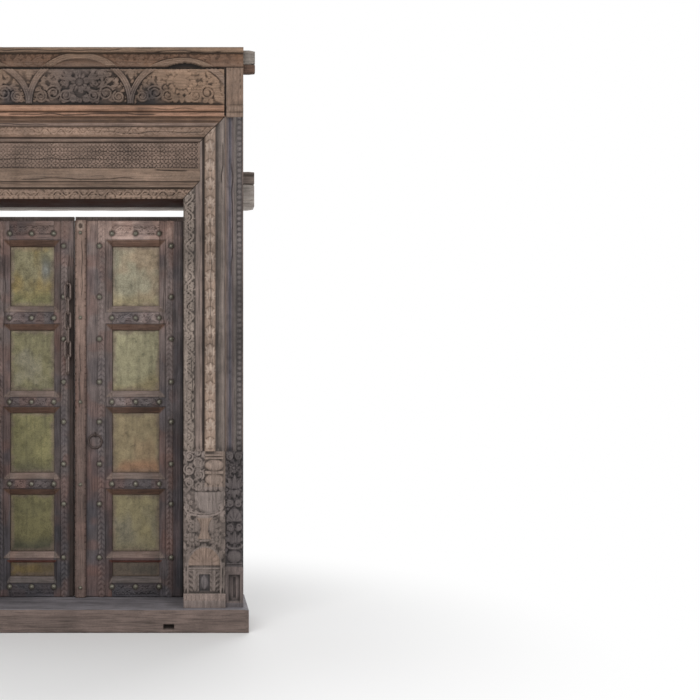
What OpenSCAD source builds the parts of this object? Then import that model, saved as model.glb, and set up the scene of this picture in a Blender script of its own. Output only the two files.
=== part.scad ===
// A carved double door that swings on wooden pivots in its moulded timber frame.
// X runs across the doorway, Y runs into it and Z runs up, from the middle of the sill's foot.

/* [Doorway] */
// Clear width between the jambs
opening_w = 852; // [800:2:920]
// Depth from the front of the jambs to the back of the frame
frame_depth = 208; // [190:2:230]
// Gap of light between the planks and the lintel
head_gap = 35; // [20:1:60]

/* [Sill] */
// Height of the sill
sill_h = 96; // [70:1:130]
// How far the sill stands forward of the jambs
sill_nose = 35; // [20:1:60]
// How far the sill runs behind the frame
sill_tail = 97; // [90:1:120]
// How far each end of the sill runs past its post
sill_end = 20; // [5:1:60]
// Width of the slot in the sill's face
slot_w = 44; // [20:1:80]
// Height of the slot in the sill's face
slot_h = 18; // [10:1:30]
// Distance of the slot from the middle of the doorway
slot_x = 366; // [300:1:420]

/* [Jambs and posts] */
// Width of the carved band and its fillets round the opening
band_w = 68; // [56:1:84]
// Width of the moulding outside that band
moulding_w = 104; // [96:1:130]
// Width of each outer post
post_w = 74; // [64:1:90]
// Depth that the mouldings are cut below the front
cut_d = 12; // [8:0.5:16]
// Height of the carved foot of the jambs and posts
foot_h = 640; // [560:5:700]
// Height of the plain plinth under the carved foot
plinth_h = 57; // [40:1:80]

/* [Head of the frame] */
// Height of the carved band and its fillets over the opening
head_band_h = 72; // [60:1:90]
// Height of the worn flat band over that
flat_band_h = 53; // [40:1:70]
// Height of the lattice panel
lattice_h = 107; // [90:1:130]
// Height of the mitred architrave head
architrave_h = 106; // [96:1:130]
// Height of the frieze beam
frieze_h = 202; // [190:1:230]
// Height of the cornice
cornice_h = 82; // [70:1:100]
// Thickness of the cornice
cornice_t = 40; // [30:1:60]

/* [Tie beams] */
// Height of the lower tie beam, which holds the top pivots
lower_beam_h = 101; // [80:1:130]
// Height of the board over it
lower_board_h = 54; // [40:1:70]
// Depth of the lower tie beam and its board
lower_tie_d = 94; // [70:1:97]
// How far the lower horns run past the posts
lower_horn = 59; // [40:1:120]
// Height of the upper tie beam
upper_beam_h = 60; // [40:1:80]
// Height of the board under it
upper_board_h = 35; // [20:1:45]
// Depth of the upper tie beam and its board
upper_tie_d = 150; // [100:1:165]
// How far the upper horns run past the posts
upper_horn = 50; // [30:1:90]
// Depth of the upper beam's horns, which are cut back behind
beam_horn_d = 110; // [60:1:150]
// Depth of the horns of the board under it
board_horn_d = 32; // [20:1:150]

/* [Leaves] */
// Thickness of the stiles and rails
stile_t = 30; // [26:1:36]
// Thickness of the planks behind them
plank_t = 24; // [20:1:32]
// Gap between the back of the frame and the face of a leaf
face_gap = 2; // [1.5:0.5:4]
// Gap under the leaves
foot_gap = 3; // [2:0.5:8]
// How far the planks stand above the top rail
plank_rise = 22; // [5:1:40]
// Gap between the two leaves
meeting_gap = 5; // [4:0.5:8]
// Distance of the meeting line from the middle of the doorway
meeting_x = -44; // [-56:1:-36]
// Distance of the pivots behind the edge of the jamb
pivot_inset = 37; // [34:1:60]
// Radius of the pivots
pivot_r = 14; // [10:0.5:18]
// Depth of the pivots in their sockets
pivot_seat = 30; // [20:1:45]
// Clearance round the pivots
pivot_clear = 0.5; // [0.3:0.1:1]

/* [Panels] */
// Width of the right leaf's meeting stile, part of it under the bead
right_stile_w = 160.5; // [140:0.5:175]
// Width of the left leaf's meeting stile
left_stile_w = 85.5; // [75:0.5:100]
// Face of the hanging stile that shows beside the jamb
hanging_face = 104; // [80:1:120]
// Width of the dark joint between that face and the jamb's edge
hanging_reveal = 3; // [1:0.5:8]
// How far the pivot post stands back from that face
post_back = 18; // [6:1:22]
// Heights of the four tall panels, from the top
panel_h = [258, 262, 258, 245]; // [200:1:300]
// Height of the low panel at the foot
low_panel_h = 60; // [50:1:80]
// Heights of the three rails between the tall panels, from the top
rail_h = [104, 95, 95]; // [85:1:130]
// Height of the top rail
top_rail_h = 108; // [80:1:140]
// Height of the thin rail over the low panel
thin_rail_h = 48; // [30:1:70]
// Height of the bottom rail
bottom_rail_h = 84; // [70:1:110]
// Width of the bevel round each panel
bevel_w = 26; // [15:1:30]
// Depth of the bevel round each panel
bevel_d = 20; // [12:1:22]
// Width of the narrow bevel over and beside the low panel
low_bevel_w = 12; // [6:1:18]
// Thickness of the brass sheets
sheet_t = 2; // [1:0.5:3]

/* [Bead and studs] */
// Width of the bead that covers the meeting line
bead_w = 52; // [40:1:60]
// Thickness of the bead
bead_t = 20; // [12:1:24]
// Radius of the dome studs
stud_r = 11; // [7:0.5:13]
// Height of the dome studs
stud_h = 7; // [4:0.5:8]
// Radius of the small studs on the bead
bead_stud_r = 8; // [5:0.5:10]

/* [Chain and ring] */
// Thickness of the chain's wire
chain_wire = 9; // [7:0.5:10]
// Length over one chain link
link_len = 80; // [70:1:100]
// Width over one chain link
link_w = 33; // [30:1:34]
// Length over the last link
end_link_len = 90; // [80:1:120]
// Width over the last link
end_link_w = 40; // [36:1:48]
// Height of the chain's staple over the sill
chain_z = 1349; // [1200:1:1400]
// Distance of the chain from the meeting line
chain_x = 26; // [22:1:26]
// Turn of the links about the plumb line, one way and the other in turns
link_lean = 20; // [10:1:25]
// Distance from the middle of the ring's wire to its centre
ring_r = 28.5; // [26:0.5:30]
// Thickness of the ring's wire
ring_wire = 9; // [6:0.5:9]
// Height of the ring's staple over the sill
ring_z = 700; // [500:1:900]
// Distance of the ring from the bead
ring_x = 36; // [35:1:45]
// Thickness of the staples' wire
staple_wire = 6; // [5:0.5:8]

/* [Carving] */
// Height of the carved relief
relief = 6; // [4:0.5:8]
// Length of one leaf of the carved band
leaf_pitch = 29; // [24:1:40]
// Length of one petal of the rounded moulding
petal_pitch = 75; // [60:1:100]
// Spacing of the beads on the posts
bead_pitch = 22; // [18:1:40]
// Spacing of the lattice
lattice_pitch = 27; // [24:1:40]

/* [Hidden] */
$fn = 48;
SIDES = ["left", "right"];
RAILS = ["top_rail", "rail_2", "rail_3", "rail_4", "thin_rail", "bottom_rail"];
PANELS = [for (i = [1:5]) str("panel_", i)];
LINKS = [for (i = [1:6]) str("chain_link_", i)];
LEAF = concat(["hanging_stile", "meeting_stile", "back_planks"], RAILS, PANELS, ["studs"]);
NODES = concat(
    ["sill", "left_jamb", "right_jamb", "left_post", "right_post", "lintel", "architrave_head"],
    ["frieze_beam", "cornice", "lower_tie_beam", "lower_tie_board"],
    ["upper_tie_beam", "upper_tie_board"],
    [for (side = SIDES, piece = LEAF) str(side, "_", piece)],
    ["meeting_bead", "bead_studs", "ring_staple", "ring", "chain_staple"],
    LINKS
);
node = "all";

// Overlap that ties a carved relief to the timber under it
sink = 2;
// Clearance where pieces of one leaf stand side by side
fit = 0.3;
// Clearance between links, and between a link and the wood
link_gap = 0.4;
// Clearance of a wire in the eye of its staple
eye_clear = 0.8;
// Sides of a carved curve drawn as a polygon
curve_steps = 8;

// Depths, from the front of the sill to its back
sill_d = sill_nose + frame_depth + sill_tail;
sill_front = -sill_d / 2;
front_y = sill_front + sill_nose;
frame_back = front_y + frame_depth;
leaf_face = frame_back + face_gap;
plank_face = leaf_face + stile_t;
leaf_back = plank_face + plank_t;
pivot_y = (leaf_face + leaf_back) / 2;
tie_front = front_y + cornice_t;

// Distances across the doorway
jamb_x = opening_w / 2;
band_x = jamb_x + band_w;
post_x = band_x + moulding_w;
frame_x = post_x + post_w;
sill_x = frame_x + sill_end;
pivot_x = jamb_x + pivot_inset;
jamb_w = band_w + moulding_w;

// Heights of the leaf, from the bottom rail up
leaf_z = sill_h + foot_gap;
low_z0 = leaf_z + bottom_rail_h;
thin_z0 = low_z0 + low_panel_h;
tall_z0 = thin_z0 + thin_rail_h;
function stack(heights, i) = i < 0 ? 0 : heights[i] + stack(heights, i - 1);
rails_top = tall_z0 + stack(panel_h, 3) + stack(rail_h, 2) + top_rail_h;
plank_top = rails_top + plank_rise;
// Panels are counted from the top: four tall ones and the low one
function panel_z1(i) = i == 4 ? thin_z0
    : rails_top - top_rail_h - stack(panel_h, i - 1) - stack(rail_h, i - 1);
function panel_z0(i) = i == 4 ? low_z0 : panel_z1(i) - panel_h[i];
function rail_z1(i) = i == 0 ? rails_top : panel_z0(i - 1);
function rail_z0(i) = i == 5 ? leaf_z : panel_z1(i);

// Heights of the frame's head
opening_z = plank_top + head_gap;
flat_z = opening_z + head_band_h;
lattice_z = flat_z + flat_band_h;
seam_z = lattice_z + lattice_h;
frieze_z = seam_z + architrave_h;
cornice_z = frieze_z + frieze_h;
top_z = cornice_z + cornice_h;
upper_beam_z = top_z - upper_beam_h;
upper_board_z = upper_beam_z - upper_board_h;
lower_board_z = opening_z + lower_beam_h;

// Distances across a leaf, counted from the middle of the doorway towards its own pivot
panel_out = jamb_x - hanging_face;
right_meet = meeting_x + meeting_gap / 2;
left_meet = -meeting_x + meeting_gap / 2;
right_in = right_meet + right_stile_w;
left_in = left_meet + left_stile_w;
bead_x1 = right_meet + bead_w;
function meet(side) = side == "right" ? right_meet : left_meet;
function panel_in(side) = side == "right" ? right_in : left_in;
function stile_from(side) = side == "right" ? bead_x1 : left_meet;
// Slight swell of the pivot post past the faces of the leaf
post_swell = 0.5;
pivot_post_r = (stile_t + plank_t) / 2 + post_swell;
// Edge of the planks against the pivot post
plank_x = jamb_x + sink;

// Room in front of the leaning top link, inside the eye of its staple
eye_slack = 4;
// Places of the chain and the ring
end_link_r = (end_link_w - chain_wire) / 2;
chain_y = leaf_face - end_link_r * cos(link_lean) - chain_wire / 2 - link_gap;
chain_top = sill_h + chain_z;
chain_at = -left_meet - chain_x + meeting_gap / 2;
link_pitch = link_len - 2 * chain_wire - link_gap;
ring_y = leaf_face - ring_wire / 2 - link_gap;
ring_at = bead_x1 + ring_x;
ring_top = sill_h + ring_z;

// Faces of the carved work, behind the front of the frame
band_face = front_y + cut_d;
field_face = front_y + cut_d * 0.7;
shaft_face = front_y + cut_d * 1.5;
foot_top = sill_h + foot_h;
// Width and middle of the rounded moulding, as shares of its section
roll_share = 0.43;
roll_mid = 0.41;
// Carved strip and groove of the band round the opening, as shares of its width
strip_share = 0.65;
groove_share = 0.12;
petal_groove = 5;

// The frieze: a torus, and three arched bays whose arches rise into the cornice
torus_h = 26;
torus_z = frieze_z + frieze_h * 0.11;
field_z = torus_z + torus_h + relief;
frieze_x = post_x - fit;
bay_w = frieze_x * 0.7;
arch_w = relief * 2;
arch_crown = cornice_z + cornice_h * 0.62;

// Colours of the timber, the metal and the brass
frame_wood = [0.46, 0.36, 0.30];
light_wood = [0.58, 0.43, 0.33];
grey_wood = [0.52, 0.48, 0.45];
leaf_wood = [0.40, 0.33, 0.31];
red_wood = [0.45, 0.31, 0.26];
brass = [0.58, 0.53, 0.36];
stud_brass = [0.50, 0.48, 0.40];
iron = [0.20, 0.17, 0.16];

function shown(name) = node == "all" || node == name;

// A box between two corners
module block(x0, x1, y0, y1, z0, z1) {
    translate([x0, y0, z0]) cube([x1 - x0, y1 - y0, z1 - z0]);
}

// A flat outline in X and Z, given depth between two planes
module face_prism(y0, y1) {
    translate([0, y1, 0]) rotate([90, 0, 0]) linear_extrude(y1 - y0) children();
}

// A profile in Y and Z, run along X
module run_prism(x0, x1) {
    translate([x0, 0, 0]) rotate([90, 0, 90]) linear_extrude(x1 - x0) children();
}

// The piece on the left, mirrored from the one on the right
module on_side(side) {
    if (side == "right") children();
    else mirror([1, 0, 0]) children();
}

// Radius of a round moulding from its width and rise
function bulge_r(w, h) = (w * w / 4 + h * h) / (2 * h);

// Points of half an ellipse, from one end of its width to the other
function half_ellipse(rx, ry, steps) =
    [for (i = [0:steps]) [rx * cos(180 * i / steps), ry * sin(180 * i / steps)]];

// A pointed leaf that lies along X
module leaf_shape(len, w) {
    polygon(concat(
        [for (i = [0:curve_steps]) [len * i / curve_steps, w / 2 * sin(180 * i / curve_steps)]],
        [for (i = [curve_steps - 1:-1:1])
            [len * i / curve_steps, -w / 2 * sin(180 * i / curve_steps)]]
    ));
}

// A full or flattened disc
module oval_shape(rx, ry) {
    polygon(concat(half_ellipse(rx, ry, curve_steps), [
        for (p = half_ellipse(rx, ry, curve_steps)) if (abs(p[0]) < rx) [-p[0], -p[1]]
    ]));
}

// A rosette of leaves about a round boss
module rosette_shape(r, petals) {
    boss_r = r * 0.36;
    petal_w = r * 4.3 / petals;
    circle(boss_r);
    for (i = [0:petals - 1]) rotate(360 * i / petals) leaf_shape(r, petal_w);
}

// A scroll: a band that winds in to its eye
module scroll_shape(r, w, turns) {
    turn_steps = 12;
    steps = round(turns * turn_steps);
    // The band narrows from its full width to this share of it at the eye
    taper = 0.4;
    shrink = 0.72;
    function band(i) = w * (1 - (1 - taper) * i / steps);
    function arm(i, off) =
        let (a = 360 * turns * i / steps, d = r * (1 - shrink * i / steps) - off)
        [d * cos(a), d * sin(a)];
    polygon(concat([for (i = [0:steps]) arm(i, 0)], [for (i = [steps:-1:0]) arm(i, band(i))]));
}

// An arched band, open at its foot
module arch_shape(r, w, rise) {
    steps = 2 * curve_steps;
    polygon(concat(
        half_ellipse(r, rise, steps),
        [for (i = [steps:-1:0]) half_ellipse(r - w, rise - w, steps)[i]]
    ));
}

module sill() {
    slot_d = 26;
    slot_z = 17;
    socket = pivot_seat + pivot_clear;
    color(frame_wood) difference() {
        block(-sill_x, sill_x, sill_front, sill_front + sill_d, 0, sill_h);
        for (s = [-1, 1]) translate([s * pivot_x, pivot_y, sill_h - socket])
            cylinder(r = pivot_r + pivot_clear, h = socket + sink);
        translate([slot_x - slot_w / 2, sill_front - sink, slot_z])
            cube([slot_w, slot_d + sink, slot_h]);
    }
}

// The moulded section that the jambs and the architrave head share, from the opening outwards.
// Its width runs along X, and Y is the depth below the front.
module moulding_section(w) {
    fillet = 5;
    roll_w = w * roll_share;
    roll_from = w * roll_mid - roll_w / 2;
    roll_to = roll_from + roll_w;
    roll_r = bulge_r(roll_w, cut_d);
    cove_r = roll_from * 0.42;
    outer_cove = (roll_to + w) / 2;
    outer_r = (w - roll_to) * 0.40;
    cove_lift = 0.4;
    raised = cut_d / 2;
    difference() {
        union() {
            translate([0, raised]) square([w, frame_depth - raised]);
            intersection() {
                translate([(roll_from + roll_to) / 2, roll_r]) circle(roll_r);
                translate([roll_from - fillet, 0]) square([roll_w + 2 * fillet, cut_d * 2]);
            }
        }
        translate([roll_from / 2, raised - cove_r * cove_lift]) circle(cove_r);
        translate([outer_cove, raised - outer_r * cove_lift]) circle(outer_r);
    }
}

// Section of the band round the opening: carved strip, fillet, groove and fillet.
// Its width runs along X, and Y is the depth below the front.
module band_section() {
    strip = band_w * strip_share;
    groove = band_w * groove_share;
    polygon([
        [0, frame_depth], [0, cut_d], [strip, cut_d], [strip, relief],
        [strip + groove, relief], [strip + groove, cut_d + relief],
        [strip + 2 * groove, cut_d + relief], [strip + 2 * groove, relief],
        [band_w, relief], [band_w, frame_depth]
    ]);
}

// Face of the right jamb: its top is mitred to the lintel and to the architrave head
module jamb_outline() {
    polygon([
        [jamb_x, sill_h], [post_x, sill_h], [post_x, frieze_z],
        [band_x, seam_z], [band_x, flat_z], [jamb_x, opening_z]
    ]);
}

// A row of slanted leaves, mirrored about the middle of the band
module leaf_row(len, w) {
    count = floor(len / leaf_pitch);
    step = len / count;
    leaf_l = w * 0.58;
    leaf_w = step * 0.42;
    first = step * 0.15;
    slant = 38;
    for (i = [0:count - 1], s = [-1, 1])
        translate([first + step * i, 0]) rotate(s * slant) leaf_shape(leaf_l, leaf_w);
}

// A pillar's neck: narrow in the middle, wide at both ends
module neck_shape(end_w, waist_w, h) {
    low = h * 0.3;
    high = h - low;
    polygon([
        [-end_w / 2, 0], [end_w / 2, 0], [waist_w / 2, low], [waist_w / 2, high],
        [end_w / 2, h], [-end_w / 2, h], [-waist_w / 2, high], [-waist_w / 2, low]
    ]);
}

// Carving of the jamb's foot, in X and Z from the middle of the plinth's foot.
// A niche with a shell, a neck between rosettes and leaves, a bowl, then cushions beside scrolls.
module jamb_foot_shapes() {
    half = jamb_w / 2;
    line = relief * 1.6;
    niche_r = half * 0.74;
    niche_foot = plinth_h + relief;
    niche_z = foot_h * 0.27;
    shell_r = niche_r * 0.84;
    shell_ribs = 7;
    rib_w = shell_r * 2.2 / shell_ribs;
    inner_scroll_r = niche_r * 0.34;
    rosette_x = half * 0.58;
    rosette_z = foot_h * 0.416;
    rosette_r = half * 0.28;
    rosette_petals = 8;
    neck_z = foot_h * 0.44;
    neck_h = foot_h * 0.15;
    neck_w = half * 0.68;
    waist_w = neck_w / 2;
    bowl_z = foot_h * 0.75;
    bowl_rx = half * 0.86;
    bowl_ry = foot_h * 0.17;
    cushion_x = half * 0.51;
    cushion_rx = half * 0.43;
    cushions = [[foot_h * 0.808, foot_h * 0.034], [foot_h * 0.91, foot_h * 0.042]];
    scrolls = [[-half * 0.70, foot_h * 0.80], [-half * 0.28, foot_h * 0.83],
        [-half * 0.70, foot_h * 0.89], [-half * 0.28, foot_h * 0.93], [-half * 0.70, foot_h * 0.97]];
    scroll_r = half * 0.25;
    scroll_turns = 1.4;
    leaf_l = half * 0.55;
    leaf_w = half * 0.20;
    leaf_turn = 52;
    translate([0, niche_z]) arch_shape(niche_r, line, niche_r);
    for (i = [0:shell_ribs - 1]) translate([0, niche_z]) rotate(180 * (i + 0.5) / shell_ribs)
        leaf_shape(shell_r, rib_w);
    translate([-niche_r, niche_z - line]) square([2 * niche_r, line]);
    for (s = [-1, 1]) {
        translate([s * (niche_r - line / 2) - line / 2, niche_foot])
            square([line, niche_z - niche_foot + sink]);
        translate([s * niche_r / 2, (niche_foot + niche_z) / 2]) mirror([s > 0 ? 1 : 0, 0])
            scroll_shape(inner_scroll_r, relief, scroll_turns);
        translate([s * rosette_x, rosette_z]) rosette_shape(rosette_r, rosette_petals);
        translate([0, neck_z + neck_h / 3]) rotate(90 + s * leaf_turn) leaf_shape(leaf_l, leaf_w);
        translate([s * leaf_w, neck_z + neck_h]) rotate(90 + s * (180 - leaf_turn))
            leaf_shape(leaf_l, leaf_w);
    }
    translate([0, neck_z]) neck_shape(neck_w, waist_w, neck_h);
    translate([0, bowl_z]) mirror([0, 1]) polygon(half_ellipse(bowl_rx, bowl_ry, 2 * curve_steps));
    translate([-bowl_rx, bowl_z - sink]) square([2 * bowl_rx, line + sink]);
    for (c = cushions) translate([cushion_x, c[0]]) oval_shape(cushion_rx, c[1]);
    for (c = scrolls) translate(c) scroll_shape(scroll_r, relief, scroll_turns);
}

module jamb() {
    half = jamb_w / 2;
    foot_face = front_y + relief;
    roll_x = band_x + moulding_w * roll_mid;
    roll_w = moulding_w * roll_share;
    strip = band_w * strip_share;
    row_x = jamb_x + strip / 2;
    row_w = strip * 0.8;
    band_len = opening_z - foot_top - leaf_pitch;
    petals = floor((seam_z - foot_top) / petal_pitch);
    color(frame_wood) difference() {
        union() {
            intersection() {
                union() {
                    translate([jamb_x, front_y, sill_h]) linear_extrude(flat_z - sill_h) band_section();
                    translate([band_x, front_y, sill_h]) linear_extrude(frieze_z - sill_h)
                        moulding_section(moulding_w);
                }
                face_prism(front_y - sink, frame_back + sink) jamb_outline();
            }
            face_prism(band_face - relief, band_face + sink)
                translate([row_x, foot_top]) rotate(90) leaf_row(band_len, row_w);
            block(jamb_x, post_x, foot_face, frame_back, sill_h, foot_top);
            face_prism(foot_face - relief, foot_face + sink)
                translate([jamb_x + half, sill_h]) jamb_foot_shapes();
            block(jamb_x, post_x, front_y - relief, frame_back, sill_h, sill_h + plinth_h);
        }
        for (i = [1:petals])
            translate([roll_x - roll_w / 2, front_y - sink, foot_top + i * petal_pitch])
                cube([roll_w, relief + sink, petal_groove]);
    }
}

// Turned work on the foot of a post, as half of its section
module post_foot_section(r, h) {
    bulbs = 5;
    step = h / bulbs;
    ring_h = step * 0.16;
    core_r = r * 0.45;
    collar_r = r * 0.95;
    intersection() {
        union() {
            square([core_r, h]);
            for (i = [0:bulbs - 1]) {
                translate([0, step * (i + 0.5)]) circle(min(r, step / 2 - ring_h));
                translate([0, step * i]) square([collar_r, ring_h]);
            }
        }
        square([r, h]);
    }
}

module post() {
    bulb_r = post_w * 0.40;
    panel_top = sill_h + foot_h * 0.21;
    panel_foot = sill_h + foot_h * 0.04;
    ridge_x = post_x + post_w * 0.55;
    bead_x0 = post_x + post_w * 0.68;
    bead_x2 = post_x + post_w * 0.84;
    rim = post_w * 0.12;
    beads = floor((frieze_z - foot_top) / bead_pitch);
    bead_cut = 7;
    color(frame_wood) difference() {
        union() {
            block(post_x, frame_x, shaft_face, frame_back, sill_h, frieze_z);
            block(post_x, frame_x, band_face, frame_back, sill_h, foot_top);
            block(post_x, frame_x, band_face, frame_back, frieze_z, upper_board_z);
            block(post_x, frame_x, band_face, tie_front, upper_board_z - sink, cornice_z);
            block(ridge_x, ridge_x + relief, band_face, shaft_face + sink, foot_top - sink, frieze_z);
            block(bead_x0, bead_x2, band_face, shaft_face + sink, foot_top - sink, frieze_z);
            block(frame_x - relief, frame_x, band_face, shaft_face + sink, foot_top - sink, frieze_z);
            translate([(post_x + frame_x) / 2, band_face + relief, panel_top])
                rotate_extrude() post_foot_section(bulb_r, foot_top - panel_top);
        }
        block(post_x + rim, frame_x - rim, front_y - sink, band_face + relief,
            panel_foot, panel_top - rim);
        for (i = [0:beads - 1])
            translate([bead_x0 - sink, front_y, foot_top + (i + 0.5) * bead_pitch])
                cube([bead_x2 - bead_x0 + 2 * sink, shaft_face - front_y, bead_cut]);
    }
}

// Face of the lintel, mitred to the jambs
module lintel_outline() {
    polygon([
        [-jamb_x, opening_z], [jamb_x, opening_z], [band_x, flat_z],
        [band_x, seam_z], [-band_x, seam_z], [-band_x, flat_z]
    ]);
}

// Section of the lintel in Y and Z: carved band, fillets, flat band and lattice panel
module lintel_section() {
    fillet_z = opening_z + head_band_h * strip_share;
    groove = head_band_h * groove_share;
    polygon([
        [frame_back, opening_z], [band_face, opening_z], [band_face, fillet_z],
        [front_y + relief, fillet_z], [front_y + relief, fillet_z + groove],
        [band_face + relief, fillet_z + groove], [band_face + relief, fillet_z + 2 * groove],
        [front_y + relief, fillet_z + 2 * groove], [front_y + relief, flat_z],
        [field_face, flat_z], [field_face, lattice_z - relief],
        [band_face, lattice_z - relief], [band_face, lattice_z],
        [field_face, lattice_z], [field_face, seam_z], [frame_back, seam_z]
    ]);
}

// Diamonds that are sunk between the ribs of the lattice
module lattice_shapes() {
    rows = max(2, round(lattice_h / lattice_pitch));
    columns = floor((2 * band_x - lattice_pitch) / lattice_pitch);
    row_h = lattice_h / rows;
    d = lattice_pitch * 0.36;
    e = row_h * 0.36;
    for (i = [0:columns - 1], j = [0:rows - 1])
        translate([(i - (columns - 1) / 2) * lattice_pitch, lattice_z + (j + 0.5) * row_h])
            polygon([[d, 0], [0, e], [-d, 0], [0, -e]]);
}

module lintel() {
    band_h = head_band_h * strip_share;
    row_w = band_h * 0.8;
    net_d = relief * 0.7;
    color(frame_wood) difference() {
        union() {
            intersection() {
                run_prism(-band_x, band_x) lintel_section();
                face_prism(front_y - sink, frame_back + sink) lintel_outline();
            }
            face_prism(band_face - relief, band_face + sink)
                translate([-jamb_x + leaf_pitch, opening_z + band_h / 2])
                    leaf_row(opening_w - 2 * leaf_pitch, row_w);
        }
        face_prism(front_y - sink, field_face + net_d) lattice_shapes();
    }
}

// Face of the architrave head, mitred to the jambs
module architrave_outline() {
    polygon([[-band_x, seam_z], [band_x, seam_z], [post_x, frieze_z], [-post_x, frieze_z]]);
}

module architrave_head() {
    roll_w = architrave_h * roll_share;
    roll_z = seam_z + architrave_h * roll_mid;
    petals = floor(band_x / petal_pitch);
    color(frame_wood) difference() {
        intersection() {
            translate([-post_x, front_y, seam_z]) rotate([90, 0, 90]) linear_extrude(2 * post_x)
                mirror([1, -1]) moulding_section(architrave_h);
            face_prism(front_y - sink, frame_back + sink) architrave_outline();
        }
        for (i = [-petals - 1:petals])
            translate([(i + 0.5) * petal_pitch, front_y - sink, roll_z - roll_w / 2])
                cube([petal_groove, relief + sink, roll_w]);
    }
}

// The arches of the three bays, from the frieze's field up into the cornice
module arch_shapes() {
    for (i = [-1:1]) translate([i * bay_w, field_z]) arch_shape(bay_w / 2, arch_w, arch_crown - field_z);
}

// One bay of the frieze about its middle, with its rosette, scrolls and leaves
module bay_shapes(w, h) {
    scroll_r = h * 0.17;
    low_scroll_r = scroll_r * 0.7;
    scroll_turns = 1.5;
    rosette_r = h * 0.36;
    rosette_petals = 10;
    low = [w * 0.15, h * 0.14];
    high = [w * 0.29, h * 0.26];
    tuft = [w * 0.22, h * 0.52];
    tuft_turn = 48;
    leaf_l = h * 0.30;
    leaf_w = h * 0.14;
    translate([0, h / 2]) rosette_shape(rosette_r, rosette_petals);
    for (s = [-1, 1]) mirror([s > 0 ? 0 : 1, 0]) {
        translate(high) scroll_shape(scroll_r, relief, scroll_turns);
        translate(low) scroll_shape(low_scroll_r, relief, scroll_turns);
        translate(tuft) rotate(tuft_turn) leaf_shape(leaf_l, leaf_w);
    }
}

// A pillar between two bays: a stem that opens into two leaves
module pillar_shapes(h) {
    stem_h = h * 0.45;
    fork = h * 0.36;
    leaf_l = h * 0.62;
    leaf_w = h * 0.16;
    spread = 30;
    translate([-relief, 0]) square([2 * relief, stem_h]);
    for (s = [-1, 1]) translate([0, fork]) rotate(90 + s * spread) leaf_shape(leaf_l, leaf_w);
}

module frieze_beam() {
    field_h = cornice_z - field_z - relief;
    torus_r = bulge_r(torus_h, cut_d);
    color(light_wood) union() {
        difference() {
            run_prism(-frieze_x, frieze_x) polygon([
                [band_face, frieze_z], [frame_back, frieze_z], [frame_back, upper_board_z],
                [tie_front, upper_board_z], [tie_front, cornice_z], [band_face, cornice_z]
            ]);
            block(-frieze_x - sink, frieze_x + sink, front_y - sink, band_face + relief,
                torus_z - relief, torus_z);
        }
        run_prism(-frieze_x, frieze_x) intersection() {
            translate([front_y + torus_r, torus_z + torus_h / 2]) circle(torus_r);
            translate([front_y - sink, torus_z]) square([2 * cut_d + sink, torus_h]);
        }
        block(-frieze_x, frieze_x, front_y + relief, band_face + sink, frieze_z, torus_z - relief);
        face_prism(band_face - relief, band_face + sink) intersection() {
            union() {
                arch_shapes();
                for (i = [-1:1]) translate([i * bay_w, field_z]) bay_shapes(bay_w, field_h);
                for (i = [-1, 1]) translate([i * bay_w / 2, field_z]) pillar_shapes(field_h);
            }
            translate([-frieze_x + relief, field_z]) square([2 * (frieze_x - relief), field_h]);
        }
    }
}

module cornice() {
    fillet_h = cornice_h * 0.28;
    leaf_h = cornice_h - fillet_h - 2 * relief;
    count = floor(2 * frame_x / leaf_h);
    step = 2 * frame_x / count;
    leaf_w = step * 0.7;
    carve = relief * 0.6;
    color(frame_wood) union() {
        block(-frame_x, frame_x, field_face, tie_front, cornice_z, top_z);
        block(-frame_x, frame_x, front_y, field_face + sink, top_z - fillet_h, top_z);
        face_prism(field_face - carve, field_face + sink) {
            intersection() {
                arch_shapes();
                translate([-frame_x, cornice_z + relief]) square([2 * frame_x, leaf_h]);
            }
            for (i = [0:count - 1]) translate([-frame_x + (i + 0.5) * step, cornice_z + relief])
                rotate(90) leaf_shape(leaf_h, leaf_w);
        }
    }
}

module lower_tie_beam() {
    end_x = frame_x + lower_horn;
    socket = pivot_seat + pivot_clear;
    color(grey_wood) difference() {
        block(-end_x, end_x, frame_back, frame_back + lower_tie_d, opening_z, lower_board_z);
        for (s = [-1, 1]) translate([s * pivot_x, pivot_y, opening_z - sink])
            cylinder(r = pivot_r + pivot_clear, h = socket + sink);
    }
}

module lower_tie_board() {
    end_x = frame_x + lower_horn;
    color(frame_wood)
        block(-end_x, end_x, frame_back, frame_back + lower_tie_d, lower_board_z,
            lower_board_z + lower_board_h);
}

// An upper tie timber between two heights, whose horns are less deep than the rest
module horned_timber(horn_d, z0, z1) {
    end_x = frame_x + upper_horn;
    back_y = tie_front + upper_tie_d;
    difference() {
        block(-end_x, end_x, tie_front, back_y, z0, z1);
        for (s = [0, 1]) mirror([s, 0, 0])
            block(frame_x, end_x + sink, tie_front + horn_d, back_y + sink, z0 - sink, z1 + sink);
    }
}

module upper_tie_beam() {
    color(grey_wood) horned_timber(beam_horn_d, upper_beam_z, top_z);
}

module upper_tie_board() {
    color(frame_wood) horned_timber(board_horn_d, upper_board_z, upper_beam_z);
}

// The space over one brass panel, with a mitred bevel on all four sides
module panel_recess(side, i) {
    x0 = panel_in(side);
    z0 = panel_z0(i);
    z1 = panel_z1(i);
    w = i == 4 ? low_bevel_w : bevel_w;
    foot = z0 - bevel_w;
    head = z1 + w;
    y1 = leaf_face + bevel_d;
    intersection() {
        translate([0, 0, foot]) linear_extrude(head - foot) polygon([
            [x0 - w, leaf_face], [panel_out + w, leaf_face], [panel_out, y1], [x0, y1]
        ]);
        run_prism(x0 - w, panel_out + w) polygon([
            [leaf_face, foot], [leaf_face, head], [y1, z1], [y1, z0]
        ]);
    }
    block(x0, panel_out, y1 - sink, plank_face + sink, z0, z1);
}

module panel_recesses(side, panels) {
    for (i = panels) panel_recess(side, i);
}

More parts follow.
